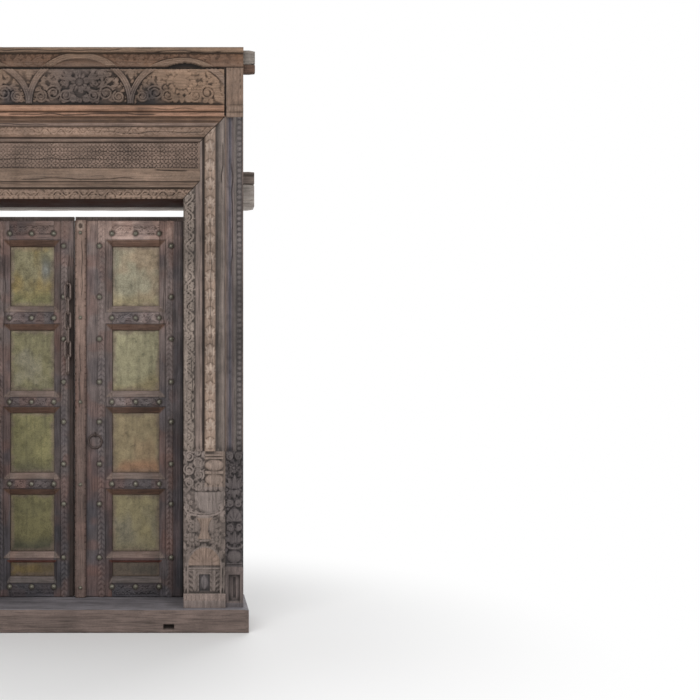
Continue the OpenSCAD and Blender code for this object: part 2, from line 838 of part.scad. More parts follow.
module hanging_stile(side) {
    face_x = jamb_x - hanging_reveal;
    post_face = leaf_face + post_back;
    color(leaf_wood) difference() {
        union() {
            block(panel_out, face_x, leaf_face, plank_face, leaf_z, rails_top);
            block(face_x - sink, pivot_x, post_face, plank_face, leaf_z, rails_top);
            block(plank_x, pivot_x, post_face, leaf_back, leaf_z, plank_top);
            translate([pivot_x, pivot_y, leaf_z]) cylinder(r = pivot_post_r, h = plank_top - leaf_z);
            translate([pivot_x, pivot_y, sill_h - pivot_seat])
                cylinder(r = pivot_r, h = opening_z + 2 * pivot_seat - sill_h);
        }
        panel_recesses(side, [0:4]);
    }
}

module meeting_stile(side) {
    color(leaf_wood) difference() {
        block(meet(side), panel_in(side), leaf_face, plank_face, leaf_z, rails_top);
        panel_recesses(side, [0:4]);
    }
}

module back_planks(side) {
    planks = 3;
    edge_x = plank_x - fit;
    step = (edge_x - meet(side)) / planks;
    groove = 3;
    color(leaf_wood) difference() {
        block(meet(side), edge_x, plank_face, leaf_back, leaf_z, plank_top);
        for (i = [1:planks - 1])
            block(meet(side) + i * step - groove / 2, meet(side) + i * step + groove / 2,
                leaf_back - groove, leaf_back + sink, leaf_z - sink, plank_top + sink);
    }
}

module rail(side, i) {
    color(i == 4 ? red_wood : leaf_wood) difference() {
        block(panel_in(side), panel_out, leaf_face, plank_face, rail_z0(i), rail_z1(i));
        panel_recesses(side, [for (j = [i - 1, i]) if (j >= 0 && j <= 4) j]);
    }
}

module panel(side, i) {
    color(brass)
        block(panel_in(side) + fit, panel_out - fit, plank_face - sheet_t, plank_face,
            panel_z0(i) + fit, panel_z1(i) - fit);
}

// A low dome that stands out from a face towards the front
module dome(r, h) {
    ball = bulge_r(2 * r, h);
    rotate([90, 0, 0]) rotate_extrude() intersection() {
        translate([0, h - ball]) circle(ball);
        square([r + sink, h]);
    }
}

module studs(side) {
    x_meeting = (stile_from(side) + panel_in(side)) / 2;
    x_hanging = (panel_out + jamb_x) / 2;
    x_rail = [panel_in(side), (panel_in(side) + panel_out) / 2, panel_out];
    inset = stud_r * 3.5;
    stile_z = concat(
        [panel_z1(0)],
        [for (i = [0:2]) each [panel_z0(i) + inset, panel_z1(i + 1) - inset]],
        [(thin_z0 + tall_z0) / 2]
    );
    rail_z = [for (i = [0, 1, 2, 3, 5]) (rail_z0(i) + rail_z1(i)) / 2];
    color(stud_brass) {
        for (x = [x_meeting, x_hanging], z = stile_z) translate([x, leaf_face, z]) dome(stud_r, stud_h);
        for (x = x_rail, z = rail_z) translate([x, leaf_face, z]) dome(stud_r, stud_h);
    }
}

module meeting_bead() {
    notch = 5;
    count = floor((rails_top - leaf_z) / leaf_pitch);
    lip = bead_w * 0.16;
    shoulder = bead_t * 0.7;
    notch_d = bead_t * 0.25;
    color(light_wood) difference() {
        translate([right_meet, leaf_face, leaf_z]) linear_extrude(rails_top - leaf_z) polygon([
            [0, 0], [0, -shoulder], [lip, -bead_t], [bead_w - lip, -bead_t],
            [bead_w, -shoulder], [bead_w, 0]
        ]);
        for (i = [1:count - 1])
            translate([right_meet - sink, leaf_face - bead_t - sink, leaf_z + i * leaf_pitch])
                cube([lip, sink + notch_d, notch]);
    }
}

module bead_studs() {
    color(stud_brass) for (i = [0, 1, 2, 3, 5])
        translate([right_meet + bead_w / 2, leaf_face - bead_t, (rail_z0(i) + rail_z1(i)) / 2])
            dome(bead_stud_r, stud_h);
}

// A link of round wire in the plane of X and Z, hung from the middle of its top wire
module link(len, w, wire) {
    r = (w - wire) / 2;
    straight = len - w;
    translate([0, 0, -r]) {
        rotate([90, 0, 0]) rotate_extrude(angle = 180) translate([r, 0]) circle(wire / 2);
        translate([0, 0, -straight]) rotate([-90, 0, 0])
            rotate_extrude(angle = 180) translate([r, 0]) circle(wire / 2);
        for (s = [-1, 1]) translate([s * r, 0, -straight]) cylinder(r = wire / 2, h = straight);
    }
}

// A bent staple whose eye stands out from the wood, round a wire that runs along X
module staple(reach, eye) {
    r = (eye + staple_wire) / 2;
    translate([0, -reach, 0]) rotate([180, -90, 0])
        rotate_extrude(angle = 180) translate([r, 0]) circle(staple_wire / 2);
    for (s = [-1, 1]) translate([0, -reach, s * r]) rotate([-90, 0, 0])
        cylinder(r = staple_wire / 2, h = reach);
}

module chain_staple() {
    color(iron) translate([chain_at, leaf_face, chain_top])
        staple(leaf_face - chain_y + eye_slack, chain_wire + 2 * eye_clear);
}

module ring_staple() {
    color(iron) translate([ring_at, leaf_face, ring_top])
        staple(leaf_face - ring_y, ring_wire + 2 * eye_clear);
}

module ring() {
    color(iron) translate([ring_at, ring_y, ring_top - ring_r]) rotate([90, 0, 0])
        rotate_extrude() translate([ring_r, 0]) circle(ring_wire / 2);
}

// Links are counted from the staple, and each lies square to the one before it
module chain_link(i) {
    last = len(LINKS) - 1;
    color(iron) translate([chain_at, chain_y, chain_top - i * link_pitch])
        rotate([0, 0, i % 2 == 0 ? link_lean : link_lean - 90])
            link(i == last ? end_link_len : link_len, i == last ? end_link_w : link_w, chain_wire);
}

if (shown("sill")) sill();
for (side = SIDES) {
    if (shown(str(side, "_jamb"))) on_side(side) jamb();
    if (shown(str(side, "_post"))) on_side(side) post();
}
if (shown("lintel")) lintel();
if (shown("architrave_head")) architrave_head();
if (shown("frieze_beam")) frieze_beam();
if (shown("cornice")) cornice();
if (shown("lower_tie_beam")) lower_tie_beam();
if (shown("lower_tie_board")) lower_tie_board();
if (shown("upper_tie_beam")) upper_tie_beam();
if (shown("upper_tie_board")) upper_tie_board();
for (side = SIDES) {
    if (shown(str(side, "_hanging_stile"))) on_side(side) hanging_stile(side);
    if (shown(str(side, "_meeting_stile"))) on_side(side) meeting_stile(side);
    if (shown(str(side, "_back_planks"))) on_side(side) back_planks(side);
    for (i = [0:5]) if (shown(str(side, "_", RAILS[i]))) on_side(side) rail(side, i);
    for (i = [0:4]) if (shown(str(side, "_", PANELS[i]))) on_side(side) panel(side, i);
    if (shown(str(side, "_studs"))) on_side(side) studs(side);
}
if (shown("meeting_bead")) meeting_bead();
if (shown("bead_studs")) bead_studs();
if (shown("ring_staple")) ring_staple();
if (shown("ring")) ring();
if (shown("chain_staple")) chain_staple();
for (i = [0:5]) if (shown(LINKS[i])) chain_link(i);
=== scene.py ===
"""The looks of a carved double door: carved faces, worn timber, aged brass and rusty iron."""
import math

import bpy
import numpy as np
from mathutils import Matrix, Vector


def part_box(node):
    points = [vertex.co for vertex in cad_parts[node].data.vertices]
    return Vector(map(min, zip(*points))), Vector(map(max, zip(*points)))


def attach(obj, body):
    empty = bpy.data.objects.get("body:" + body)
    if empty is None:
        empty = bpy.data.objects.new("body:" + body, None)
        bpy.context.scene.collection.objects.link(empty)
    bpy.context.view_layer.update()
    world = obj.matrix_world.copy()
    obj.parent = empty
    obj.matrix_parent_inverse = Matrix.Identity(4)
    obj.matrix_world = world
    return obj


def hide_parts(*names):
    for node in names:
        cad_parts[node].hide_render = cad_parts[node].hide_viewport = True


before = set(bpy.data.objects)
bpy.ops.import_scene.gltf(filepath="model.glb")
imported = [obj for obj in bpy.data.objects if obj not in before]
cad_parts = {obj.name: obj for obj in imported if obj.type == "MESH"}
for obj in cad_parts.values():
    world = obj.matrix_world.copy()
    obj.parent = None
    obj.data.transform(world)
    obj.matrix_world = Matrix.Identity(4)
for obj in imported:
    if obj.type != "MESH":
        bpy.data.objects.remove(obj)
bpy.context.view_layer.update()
MM = 0.001
X, Y, Z = 0, 1, 2
# A length past everything here
FAR = 1e6


def mm_box(node):
    """Lowest and highest corner of a CAD node in millimetres."""
    lo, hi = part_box(node)
    return np.array(lo) / MM, np.array(hi) / MM


def span(node, axis):
    """From where to where a CAD node reaches along one axis, in millimetres."""
    lo, hi = mm_box(node)
    return lo[axis], hi[axis]


def srgb(r, g, b):
    """A colour written as it looks on a screen, as linear light."""
    c = np.array([r, g, b], float) / 255
    return np.where(c <= 0.04045, c / 12.92, ((c + 0.055) / 1.055) ** 2.4)


# Colours of the worn surfaces, and the painted shade of the lintel's underside
BROWN = srgb(118, 99, 86)
PALE = srgb(168, 151, 138)
UMBER = srgb(98, 78, 65)
DARK = srgb(58, 45, 38)
SLATE = srgb(84, 80, 84)
SILVER = srgb(150, 141, 133)
LEAF_TOP = srgb(114, 101, 97)
LEAF_LOW = srgb(80, 73, 74)
LEAF_BLUE = srgb(66, 65, 71)
RED = srgb(112, 80, 70)
BEAD_TOP = srgb(131, 109, 98)
BEAD_LOW = srgb(98, 81, 75)
PLANK = srgb(96, 84, 79)
# The lintel's underside is coloured near black: painted shade
SOFFIT_SHADE = srgb(58, 30, 20)
SILL = srgb(105, 91, 85)
SILL_TOP = srgb(126, 122, 126)

# Places on the frame, in millimetres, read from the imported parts
OPEN_X = span("right_jamb", X)[0]
BAND_X = span("lintel", X)[1]
FRIEZE_X = span("frieze_beam", X)[1]
POST_X, FRAME_X = span("right_post", X)
FRONT, TIE_FRONT = span("cornice", Y)
BACK = span("frieze_beam", Y)[1]
SILL_Z = span("sill", Z)[1]
OPEN_Z = span("lintel", Z)[0]
SEAM_Z = span("architrave_head", Z)[0]
FRIEZE_Z = span("frieze_beam", Z)[0]
CORNICE_Z, TOP_Z = span("cornice", Z)
UPPER_Z = span("upper_tie_board", Z)[0]
FLAT_Z = OPEN_Z + 72
FOOT_Z = SILL_Z + 640
PLINTH_Z = SILL_Z + 57
LEAF_FACE = span("right_bottom_rail", Y)[0]
PLANK_FACE, LEAF_BACK = span("right_back_planks", Y)
LEAF_EDGE = OPEN_X - 3

# Cells of the carved faces along X and Z, in millimetres
JAMB_CELL = (2.5, 3.1)
LINTEL_CELL = (2.5, 2.1)
HEAD_CELL = (3.1, 2.5)
FRIEZE_CELL = (2.6, 2.2)
STILE_CELL = (3.0, 4.3)
RAIL_CELL = (2.4, 2.4)
PLANK_CELL = (8.0, 20.0)
SHEET_CELL = (4.0, 4.0)
BEAD_COUNT, BEAD_CELL = 19, 3.2


# Noise and shapes

def noise(x, z, sx, sz, seed):
    """Smooth value noise from 0 to 1, in cells of sx by sz millimetres."""
    size = 64
    table = np.random.RandomState(seed).rand(size, size)
    a, b = x / sx, z / sz
    i, j = np.floor(a).astype(int), np.floor(b).astype(int)
    p, q = a - i, b - j
    p, q = p * p * (3 - 2 * p), q * q * (3 - 2 * q)
    i0, i1, j0, j1 = i % size, (i + 1) % size, j % size, (j + 1) % size
    low = table[i0, j0] * (1 - p) + table[i1, j0] * p
    high = table[i0, j1] * (1 - p) + table[i1, j1] * p
    return low * (1 - q) + high * q


def wander(s, pitch, seed):
    """Noise along one line."""
    return noise(s, s * 0, pitch, FAR, seed)


def fractal(x, z, sx, sz, seed, octaves=3):
    """Noise in several finer layers, from 0 to 1."""
    total, weight = 0.0, 0.0
    for k in range(octaves):
        share = 0.5 ** k
        total = total + share * noise(x, z, sx * share, sz * share, seed + 17 * k)
        weight += share
    return total / weight


def ramp(a, b, t):
    """A smooth step from 0 at a to 1 at b."""
    s = np.clip((t - a) / (b - a), 0, 1)
    return s * s * (3 - 2 * s)


def bell(t, width):
    """A soft peak of 1 at 0."""
    return np.exp(-(t / width) ** 2)


def within(t, a, b):
    return (t > a) & (t < b)


def repeat(t, pitch):
    """Place in a row of repeats, from -0.5 to 0.5 in each."""
    return t / pitch - np.floor(t / pitch) - 0.5


def slant(t, t0, t1, v0, v1):
    """Value on the straight line from v0 at t0 to v1 at t1."""
    return v0 + (v1 - v0) * (t - t0) / (t1 - t0)


def blend(a, b, t):
    """A colour between two colours, for each point."""
    t = np.asarray(t)[..., None]
    return a * (1 - t) + b * t


def round_top(d, w):
    """A rounded ridge of half width w, from the distance to its middle."""
    return np.sqrt(np.clip(1 - (d / w) ** 2, 0, 1))


def leaf(length, width, vein=0.45):
    """A pointed leaf along u with a sunk midrib."""
    def motif(u, v):
        t = np.clip(u / length, 0, 1)
        half = width / 2 * np.sin(np.pi * t) ** 0.7 + 1e-6
        body = round_top(v, half) * (1 - vein * bell(v, 0.13 * width))
        return np.where(within(u, 0, length), body, 0)
    return motif


def scroll(r, w, turns=1.5, eye=0.3):
    """A band that winds in to a round eye."""
    def motif(u, v):
        rho, phi = np.hypot(u, v), np.arctan2(v, u) / (2 * np.pi)
        near = np.full(np.shape(u), FAR)
        for k in range(int(math.ceil(turns)) + 1):
            t = phi + k
            d = np.abs(rho - r * (1 - (1 - eye) * t / turns))
            near = np.where((t >= 0) & (t <= turns), np.minimum(near, d), near)
        return np.maximum(round_top(near, w), round_top(rho, eye * r))
    return motif


def flower(r, petals, boss=0.32):
    """A round flower with a domed middle."""
    def motif(u, v):
        rho, phi = np.hypot(u, v) / r, np.arctan2(v, u)
        lobe = np.abs(np.cos(petals * phi / 2))
        body = np.clip(1 - (rho / (0.76 + 0.24 * lobe)) ** 4, 0, 1) ** 0.5 * (0.4 + 0.6 * lobe)
        body = body * (1 - 0.7 * bell(rho - boss * 1.2, 0.07))
        return np.maximum(body, round_top(rho, boss))
    return motif


def dome(rx, rz):
    return lambda u, v: np.sqrt(np.clip(1 - (u / rx) ** 2 - (v / rz) ** 2, 0, 1))


def shell(rx, rz, ribs):
    """Ribs that fan out from the foot of half an ellipse: where, how high, and how far out."""
    def motif(u, v):
        out = np.hypot(u / rx, v / rz)
        return (out < 1) & (v > 0), np.abs(np.sin(ribs * np.arctan2(v, u))) ** 0.6, out
    return motif


def from_ellipse(u, v, rx, rz):
    """About how far a point lies from an ellipse."""
    q = np.hypot(u / rx, v / rz)
    slope = np.hypot(u / rx ** 2, v / rz ** 2) / np.maximum(q, 1e-6)
    return np.abs(q - 1) / np.maximum(slope, 1e-6)


def arch(rx, rz, w, half=1):
    """A rounded band along half an ellipse, over it or under it."""
    return lambda u, v: np.where(v * half > -w, round_top(from_ellipse(u, v, rx, rz), w), 0)


def bar(length, w):
    """A rounded bar along u."""
    return lambda u, v: np.where(np.abs(u) < length / 2, round_top(v, w), 0)


def vine(s, t, width, pitch):
    """A running tendril: a wave with a curl and leaves in each bend, over a whole band."""
    odd = np.floor(s / pitch) % 2
    u = repeat(s, pitch) * pitch / width
    v = np.where(odd == 0, t, -t) / width
    p = pitch / width
    stem_at = -0.34 * np.cos(np.pi * u / p)
    stem = round_top((v - stem_at) / np.sqrt(1 + (1.05 / p * np.sin(np.pi * u / p)) ** 2), 0.085)
    out = np.maximum(stem, scroll(0.27, 0.07, 1.4, 0.34)(u, v - 0.13))
    for du, dv, turn, length in ((-0.44 * p, 0.10, 1.15, 0.36), (0.44 * p, 0.10, 1.99, 0.36),
                                 (-0.20 * p, -0.22, -0.5, 0.26), (0.20 * p, -0.22, 3.64, 0.26)):
        a, b = u - du, v - dv
        c, d = math.cos(turn), math.sin(turn)
        out = np.maximum(out, 0.9 * leaf(length, 0.2)(a * c + b * d, b * c - a * d))
    return np.where(np.abs(t) < width / 2, out, 0)


def chevron(s, t, width, pitch):
    """A row of paired slanting leaves about a middle rib."""
    saw = repeat(s + 0.9 * np.abs(t), pitch) + 0.5
    body = np.sin(np.pi * saw) ** 0.8 * (0.35 + 0.65 * ramp(0, 0.12 * width, np.abs(t)))
    return np.where(np.abs(t) < width / 2, body, 0)


def lattice(x, z, pitch, row):
    """Four leaves set cornerwise about a boss in each cell of a net, with buds between the cells."""
    u, v = np.abs(repeat(x, pitch)), np.abs(repeat(z, row))
    along, across = (u + v) / math.sqrt(2), (u - v) / math.sqrt(2)
    t = np.clip((along - 0.10) / 0.54, 0, 1)
    half = 0.17 * np.sin(np.pi * t) ** 0.7 + 1e-6
    leaves = round_top(across, half) * (1 - 0.55 * bell(across, 0.035))
    boss = round_top(np.hypot(u, v), 0.11)
    buds = [round_top(np.hypot(a, b), 0.17) for a, b in ((0.5 - u, 1.5 * v), (1.5 * u, 0.5 - v))]
    return np.maximum.reduce([leaves, boss] + buds)


# Carved faces

class Board:
    """A face as a grid of points in X and Z, with a base height, a carved relief and a colour."""

    def __init__(self, x, z, seed):
        self.x, self.z = x, z
        # Carving is set out by eye, so its lines wander a little
        self.wx = x + 5 * (fractal(x, z, 70, 70, seed + 70, 2) - 0.5)
        self.wz = z + 5 * (fractal(x, z, 70, 70, seed + 75, 2) - 0.5)
        self.base, self.relief, self.cut = (np.zeros_like(x) for _ in range(3))
        self.tone = np.zeros(x.shape + (3,)) + BROWN

    def stamp(self, cx, cz, motif, high, turn=0.0, flip=1, reach=100):
        """Carves one motif about a point, turned by degrees."""
        near = (np.abs(self.x - cx) < reach) & (np.abs(self.z - cz) < reach)
        dx, dz = (self.wx[near] - cx) * flip, self.wz[near] - cz
        c, s = math.cos(math.radians(turn)), math.sin(math.radians(turn))
        raised = high * motif(dx * c + dz * s, dz * c - dx * s)
        self.relief[near] = np.maximum(self.relief[near], raised)

    def pair(self, mid, dx, cz, motif, high, turn=0.0, reach=100):
        """Carves one motif twice, mirrored about a middle line."""
        for s in (-1, 1):
            self.stamp(mid + s * dx, cz, motif, high, turn, s, reach)

    def lift(self, relief):
        self.relief = np.maximum(self.relief, relief)

    def level(self, mask, base=None, relief=0):
        """Gives a part of the face another base, if any, and another relief or none."""
        if base is not None:
            self.base = np.where(mask, base, self.base)
        self.relief = np.where(mask, relief, self.relief)

    def tint(self, colour, share):
        self.tone = blend(self.tone, colour, share)

    def zone(self, mask, colour, share=1.0):
        self.tint(colour, np.where(mask, share, 0))

    def strips(self, t, *rows):
        """Colours the strips of a moulding, each from one place to another."""
        for a, b, *colour in rows:
            self.zone(within(t, a, b), srgb(*colour))

    def dim(self, factor):
        self.tone = self.tone * factor[..., None]

    def joint(self, mask):
        """An open joint between two timbers."""
        self.base = np.where(mask, -19, self.base)
        self.zone(mask, DARK * 0.5, 0.9)

    def cracks(self, along, seed, *rows):
        """Splits that follow the grain, each with a seed, its start, length, place, width and depth."""
        s, t = (self.z, self.x) if along == "z" else (self.x, self.z)
        for number, start, length, at, width, deep in rows:
            path = at + 9 * (wander(s, 60, seed + number) - 0.5)
            ends = ramp(0, 25, s - start) * ramp(0, 25, start + length - s)
            self.cut = np.maximum(self.cut, deep * ends * bell(t - path, width))

    def heights(self, along, seed, wear=0.35, rough=0.6, reach=1.0):
        """Height of each point, with the relief worn unevenly, the grain raised and edges dented.

        reach is how much of the face the wear takes.
        """
        x, z = self.x, self.z
        long_x, long_z = (260, 5) if along == "x" else (5, 260)
        worn = reach * ramp(0.35, 0.8, fractal(x, z, 210, 210, seed))
        relief = self.relief * (1 - worn) + spread(self.relief, 1) * worn * (1 - wear)
        grain = fractal(x, z, long_x, long_z, seed + 5, 2) - 0.5
        dents = np.clip(fractal(x, z, 28, 28, seed + 9, 2) - 0.62, 0, 1)
        return self.base + relief + rough * (grain * 0.9 - dents * 5) - self.cut


def foliage(b, x0, x1, z0, z1, cell, high, seed, curls=0.35):
    """Small leaves and curls that fill a field under its larger motifs, set by eye."""
    rs = np.random.RandomState(seed)
    for cz in np.arange(z0 + cell / 2, z1, cell * 0.8):
        for cx in np.arange(x0 + cell / 2, x1, cell):
            dx, dz, turn, pick, size = rs.rand(5)
            ax, az = cx + 0.7 * cell * (dx - 0.5), cz + 0.5 * cell * (dz - 0.5)
            if pick < curls:
                curl = scroll(0.45 * cell, 0.13 * cell, 1.3)
                b.stamp(ax, az, curl, high, 360 * turn, 1 if size < 0.5 else -1, cell)
            else:
                blade = leaf(cell * (0.9 + 0.5 * size), 0.5 * cell)
                b.stamp(ax, az, blade, high * (0.6 + 0.4 * size), 20 + 140 * turn, 1, 1.5 * cell)


def spread(a, reach):
    """A soft blur over a grid."""
    wide = 2 * reach + 1
    for axis in (0, 0, 1, 1):
        pad = [(reach, reach) if k == axis else (0, 0) for k in (0, 1)]
        total = np.cumsum(np.pad(a, pad, mode="edge"), axis=axis)
        total = np.insert(total, 0, 0, axis=axis)
        n = a.shape[axis]
        a = (np.take(total, range(wide, wide + n), axis=axis) - np.take(total, range(n), axis=axis)) / wide
    return a


def grid(x0, x1, z0, z1, cell_x, cell_z):
    """Points over a rectangle, about a cell apart."""
    nx = max(3, int(round((x1 - x0) / cell_x)) + 1)
    nz = max(3, int(round((z1 - z0) / cell_z)) + 1)
    return np.meshgrid(np.linspace(x0, x1, nx), np.linspace(z0, z1, nz))


def to_edge(x, z, x0, x1, z0, z1):
    """How far each point lies from the edge of a rectangle."""
    return np.minimum.reduce([x - x0, x1 - x, z - z0, z1 - z])


def profile(t, points):
    """Height across a moulding, from pairs of place and height."""
    p = np.array(points, float)
    return np.interp(t, p[:, 0], p[:, 1])


def roll(t, a, b, low, high):
    """A convex moulding between two places."""
    return np.where(within(t, a, b), low + (high - low) * round_top(t - (a + b) / 2, (b - a) / 2), -FAR)


class Shells:
    """Closed shells that are gathered into one mesh with a colour at each point."""

    def __init__(self):
        self.co, self.loops, self.sizes, self.smooth, self.tone = [], [], [], [], []
        self.count = 0

    def add(self, co, faces, smooth, tone):
        for group, flag in zip(faces, smooth):
            group = np.asarray(group)
            self.loops.append((group + self.count).ravel())
            self.sizes.append(np.full(len(group), group.shape[1]))
            self.smooth.append(np.full(len(group), flag))
        self.co.append(co)
        self.tone.append(tone)
        self.count += len(co)

    def face(self, x, z, y, back, tone, side, toward=-1, rear=None):
        """A height grid closed by flat sides and a flat back. toward is the sign of its outward Y."""
        nz, nx = x.shape
        index = np.arange(nx * nz).reshape(nz, nx)
        quads = np.stack([index[:-1, :-1], index[:-1, 1:], index[1:, 1:], index[1:, :-1]], -1).reshape(-1, 4)
        rim = np.concatenate([index[0, :-1], index[:-1, -1], index[-1, :0:-1], index[:0:-1, 0]])
        front = np.stack([x.ravel(), y.ravel(), z.ravel()], -1)
        edge = front[rim]
        behind = edge.copy()
        behind[:, Y] = back
        n, m = nx * nz, len(rim)
        near, far = n + np.arange(m), n + m + np.arange(m)
        walls = np.stack([np.roll(near, -1), near, far, np.roll(far, -1)], -1)
        end = (n + 2 * m + np.arange(m))[::-1][None, :]
        patches = [fractal(at[:, X], at[:, Z], 260, 260, seed) for at, seed in ((edge, 3), (behind, 4))]
        tones = [tone.reshape(-1, 3)] + [side * (0.78 + 0.44 * patch)[:, None] for patch in patches]
        tones.append(np.repeat((side if rear is None else rear)[None, :], m, 0))
        groups = [group[:, ::-1] if toward > 0 else group for group in (quads, walls, end)]
        co = np.concatenate([front, edge, behind, behind])
        self.add(co, groups, [True, False, False], np.concatenate(tones))

    def front(self, b, h, back, seed, deep=0.75, side=UMBER, rear=None):
        """A carved board at the front of the frame, with painted shade in its hollows."""
        self.face(b.x, b.z, FRONT - h, back, shade(b, h, seed, deep), side, rear=rear)

    def block(self, lo, hi, tone):
        """A plain box behind a carved face."""
        corners = [(x, y, z) for z in (lo[Z], hi[Z]) for y in (lo[Y], hi[Y]) for x in (lo[X], hi[X])]
        faces = [[0, 2, 3, 1], [4, 5, 7, 6], [0, 1, 5, 4], [2, 6, 7, 3], [0, 4, 6, 2], [1, 3, 7, 5]]
        co = np.array(corners, float)[np.array(faces).ravel()]
        self.add(co, [np.arange(24).reshape(6, 4)], [False], np.repeat(tone[None, :], 24, 0))

    def ring(self, stations, outline, tone):
        """A bar along X from rings of points, closed at both ends. Its rings run the same way."""
        n, m = outline.shape[:2]
        index = np.arange(n * m).reshape(n, m)
        after = np.roll(index, -1, axis=1)
        quads = np.stack([index[:-1], index[1:], after[1:], after[:-1]], -1).reshape(-1, 4)
        co = np.concatenate([np.repeat(stations, m)[:, None], outline.reshape(-1, 2)], -1)
        caps = [len(co) + np.arange(m)[None, :], len(co) + m + np.arange(m)[::-1][None, :]]
        end_tone = np.repeat(0.85 * np.median(tone[[0, -1]], axis=1), m, axis=0)
        self.add(np.concatenate([co, co[index[0]], co[index[-1]]]), [quads] + caps, [True, False, False],
                 np.concatenate([tone.reshape(-1, 3), end_tone]))

    def turned(self, r, z0, z1, tone):
        """A round post about the pivot."""
        n = 40
        k = np.arange(n)
        a = k * 2 * np.pi / n
        x, y = PIVOT_X + r * np.cos(a), PIVOT_Y + r * np.sin(a)
        rings = [np.stack([x, y, np.full(n, z)], -1) for z in (z0, z1)]
        walls = np.stack([k, np.roll(k, -1), np.roll(k, -1) + n, k + n], -1)
        caps = [(2 * n + k)[::-1][None, :], (3 * n + k)[None, :]]
        co = np.concatenate(rings * 2)
        self.add(co, [walls] + caps, [True, False, False], np.repeat(tone[None, :], len(co), 0))

    def object(self, name, mirror):
        co = np.concatenate(self.co) * MM
        loops = np.concatenate(self.loops)
        sizes = np.concatenate(self.sizes)
        starts = np.concatenate([[0], np.cumsum(sizes)[:-1]])
        if mirror:
            co[:, X] *= -1
            order = np.repeat(starts, sizes) * 2 + np.repeat(sizes, sizes) - 1 - np.arange(len(loops))
            loops = loops[order]
        mesh = bpy.data.meshes.new(name)
        mesh.vertices.add(len(co))
        mesh.vertices.foreach_set("co", co.ravel().astype(np.float32))
        mesh.loops.add(len(loops))
        mesh.loops.foreach_set("vertex_index", loops.astype(np.int32))
        mesh.polygons.add(len(sizes))
        mesh.polygons.foreach_set("loop_start", starts.astype(np.int32))
        mesh.polygons.foreach_set("use_smooth", np.concatenate(self.smooth))
        mesh.update(calc_edges=True)
        tone = np.concatenate(self.tone)
        rgba = np.concatenate([tone, np.ones((len(tone), 1))], -1)
        layer = mesh.color_attributes.new("tone", "FLOAT_COLOR", "POINT")
        layer.data.foreach_set("color", rgba.ravel().astype(np.float32))
        obj = bpy.data.objects.new(name, mesh)
        bpy.context.scene.collection.objects.link(obj)
        return obj


def shade(board, h, seed, deep=0.75, reach=5):
    """Colour of a carved face: painted shade in its hollows, as dark as deep says, paler on its edges, with
    patches, specks and stains.
    """
    hollow = np.clip((spread(h, reach) - h) / 3.5, -1, 1)
    x, z = board.x, board.z
    tone = board.tone * (0.84 + 0.32 * fractal(x, z, 90, 90, seed + 21))[..., None]
    tone = tone * (0.90 + 0.20 * fractal(x, z, 16, 16, seed + 27, 2))[..., None]
    # Painted shade: the hollows of the carving are darkened
    tone = tone * (1 - deep * np.clip(hollow, 0, 1))[..., None]
    tone = blend(tone, tone + 0.10 * SILVER, np.clip(-hollow, 0, 1))
    stain = ramp(0.60, 0.82, fractal(x, z, 130, 170, seed + 33))
    tone = blend(tone, tone * 0.66, stain * 0.8)
    return blend(tone, DARK * 0.35, np.clip(board.cut / 2.5, 0, 1) * 0.9)


def place(shells, name, node, body, material):
    """Makes the shells one piece that takes the place of a CAD node."""
    obj = shells.object(name, node.startswith("left_"))
    obj.data.materials.append(material)
    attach(obj, body)
    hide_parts(node)


# Materials

class Tree:
    """The nodes of a material or of the world."""

    def __init__(self, owner):
        owner.use_nodes = True
        self.nodes, self.links = owner.node_tree.nodes, owner.node_tree.links
        self.nodes.clear()

    def add(self, kind, inputs=None, out=0, **settings):
        """One output of a new node, with a link or a constant on each socket that is named."""
        node = self.nodes.new("ShaderNode" + kind)
        for name, value in settings.items():
            setattr(node, name, value)
        for socket, value in (inputs or {}).items():
            if isinstance(value, bpy.types.NodeSocket):
                self.links.new(value, node.inputs[socket])
            else:
                node.inputs[socket].default_value = value
        return node.outputs[out] if len(node.outputs) else None

    def noise(self, scale, size, detail=6, rough=0.6):
        """Noise in object space, stretched by a scale on each axis."""
        spot = self.add("Mapping", {"Vector": self.add("TexCoord", out="Object"), "Scale": scale})
        return self.add("TexNoise", {"Vector": spot, "Scale": size, "Detail": detail, "Roughness": rough})

    def greys(self, source, *stops):
        """A colour ramp of greys."""
        out = self.add("ValToRGB", {0: source})
        elements = out.node.color_ramp.elements
        while len(elements) < len(stops):
            elements.new(0.5)
        for element, (at, value) in zip(elements, stops):
            element.position = at
            element.color = (value, value, value, 1)
        return out

    def surface(self, colour, layers, gloss, bump, strength, distance, **more):
        """A surface with layers of greys over one colour, or over the tone of each point."""
        if colour is None:
            base = self.add("Attribute", out="Color", attribute_name="tone")
        else:
            base = tuple(colour) + (1,)
        for source, *stops in layers:
            base = self.add("Mix", {"Factor": 1, 6: base, 7: self.greys(source, *stops)}, 2,
                            data_type="RGBA", blend_type="MULTIPLY")
        normal = self.add("Bump", {"Strength": strength, "Distance": distance, "Height": bump})
        inputs = {"Base Color": base, "Roughness": self.greys(*gloss), "Normal": normal}
        inputs.update({name.replace("_", " "): value for name, value in more.items()})
        self.add("OutputMaterial", {0: self.add("BsdfPrincipled", inputs)})

    def seen(self):
        """1 on what is looked at or mirrored, 0 on what only lights."""
        kinds = ("Camera", "Glossy", "Transmission")
        rays = [self.add("LightPath", out="Is %s Ray" % kind) for kind in kinds]
        either = self.add("Math", {0: rays[0], 1: rays[1]}, operation="MAXIMUM")
        return self.add("Math", {0: either, 1: rays[2]}, operation="MAXIMUM")


EVEN = (1, 1, 1)


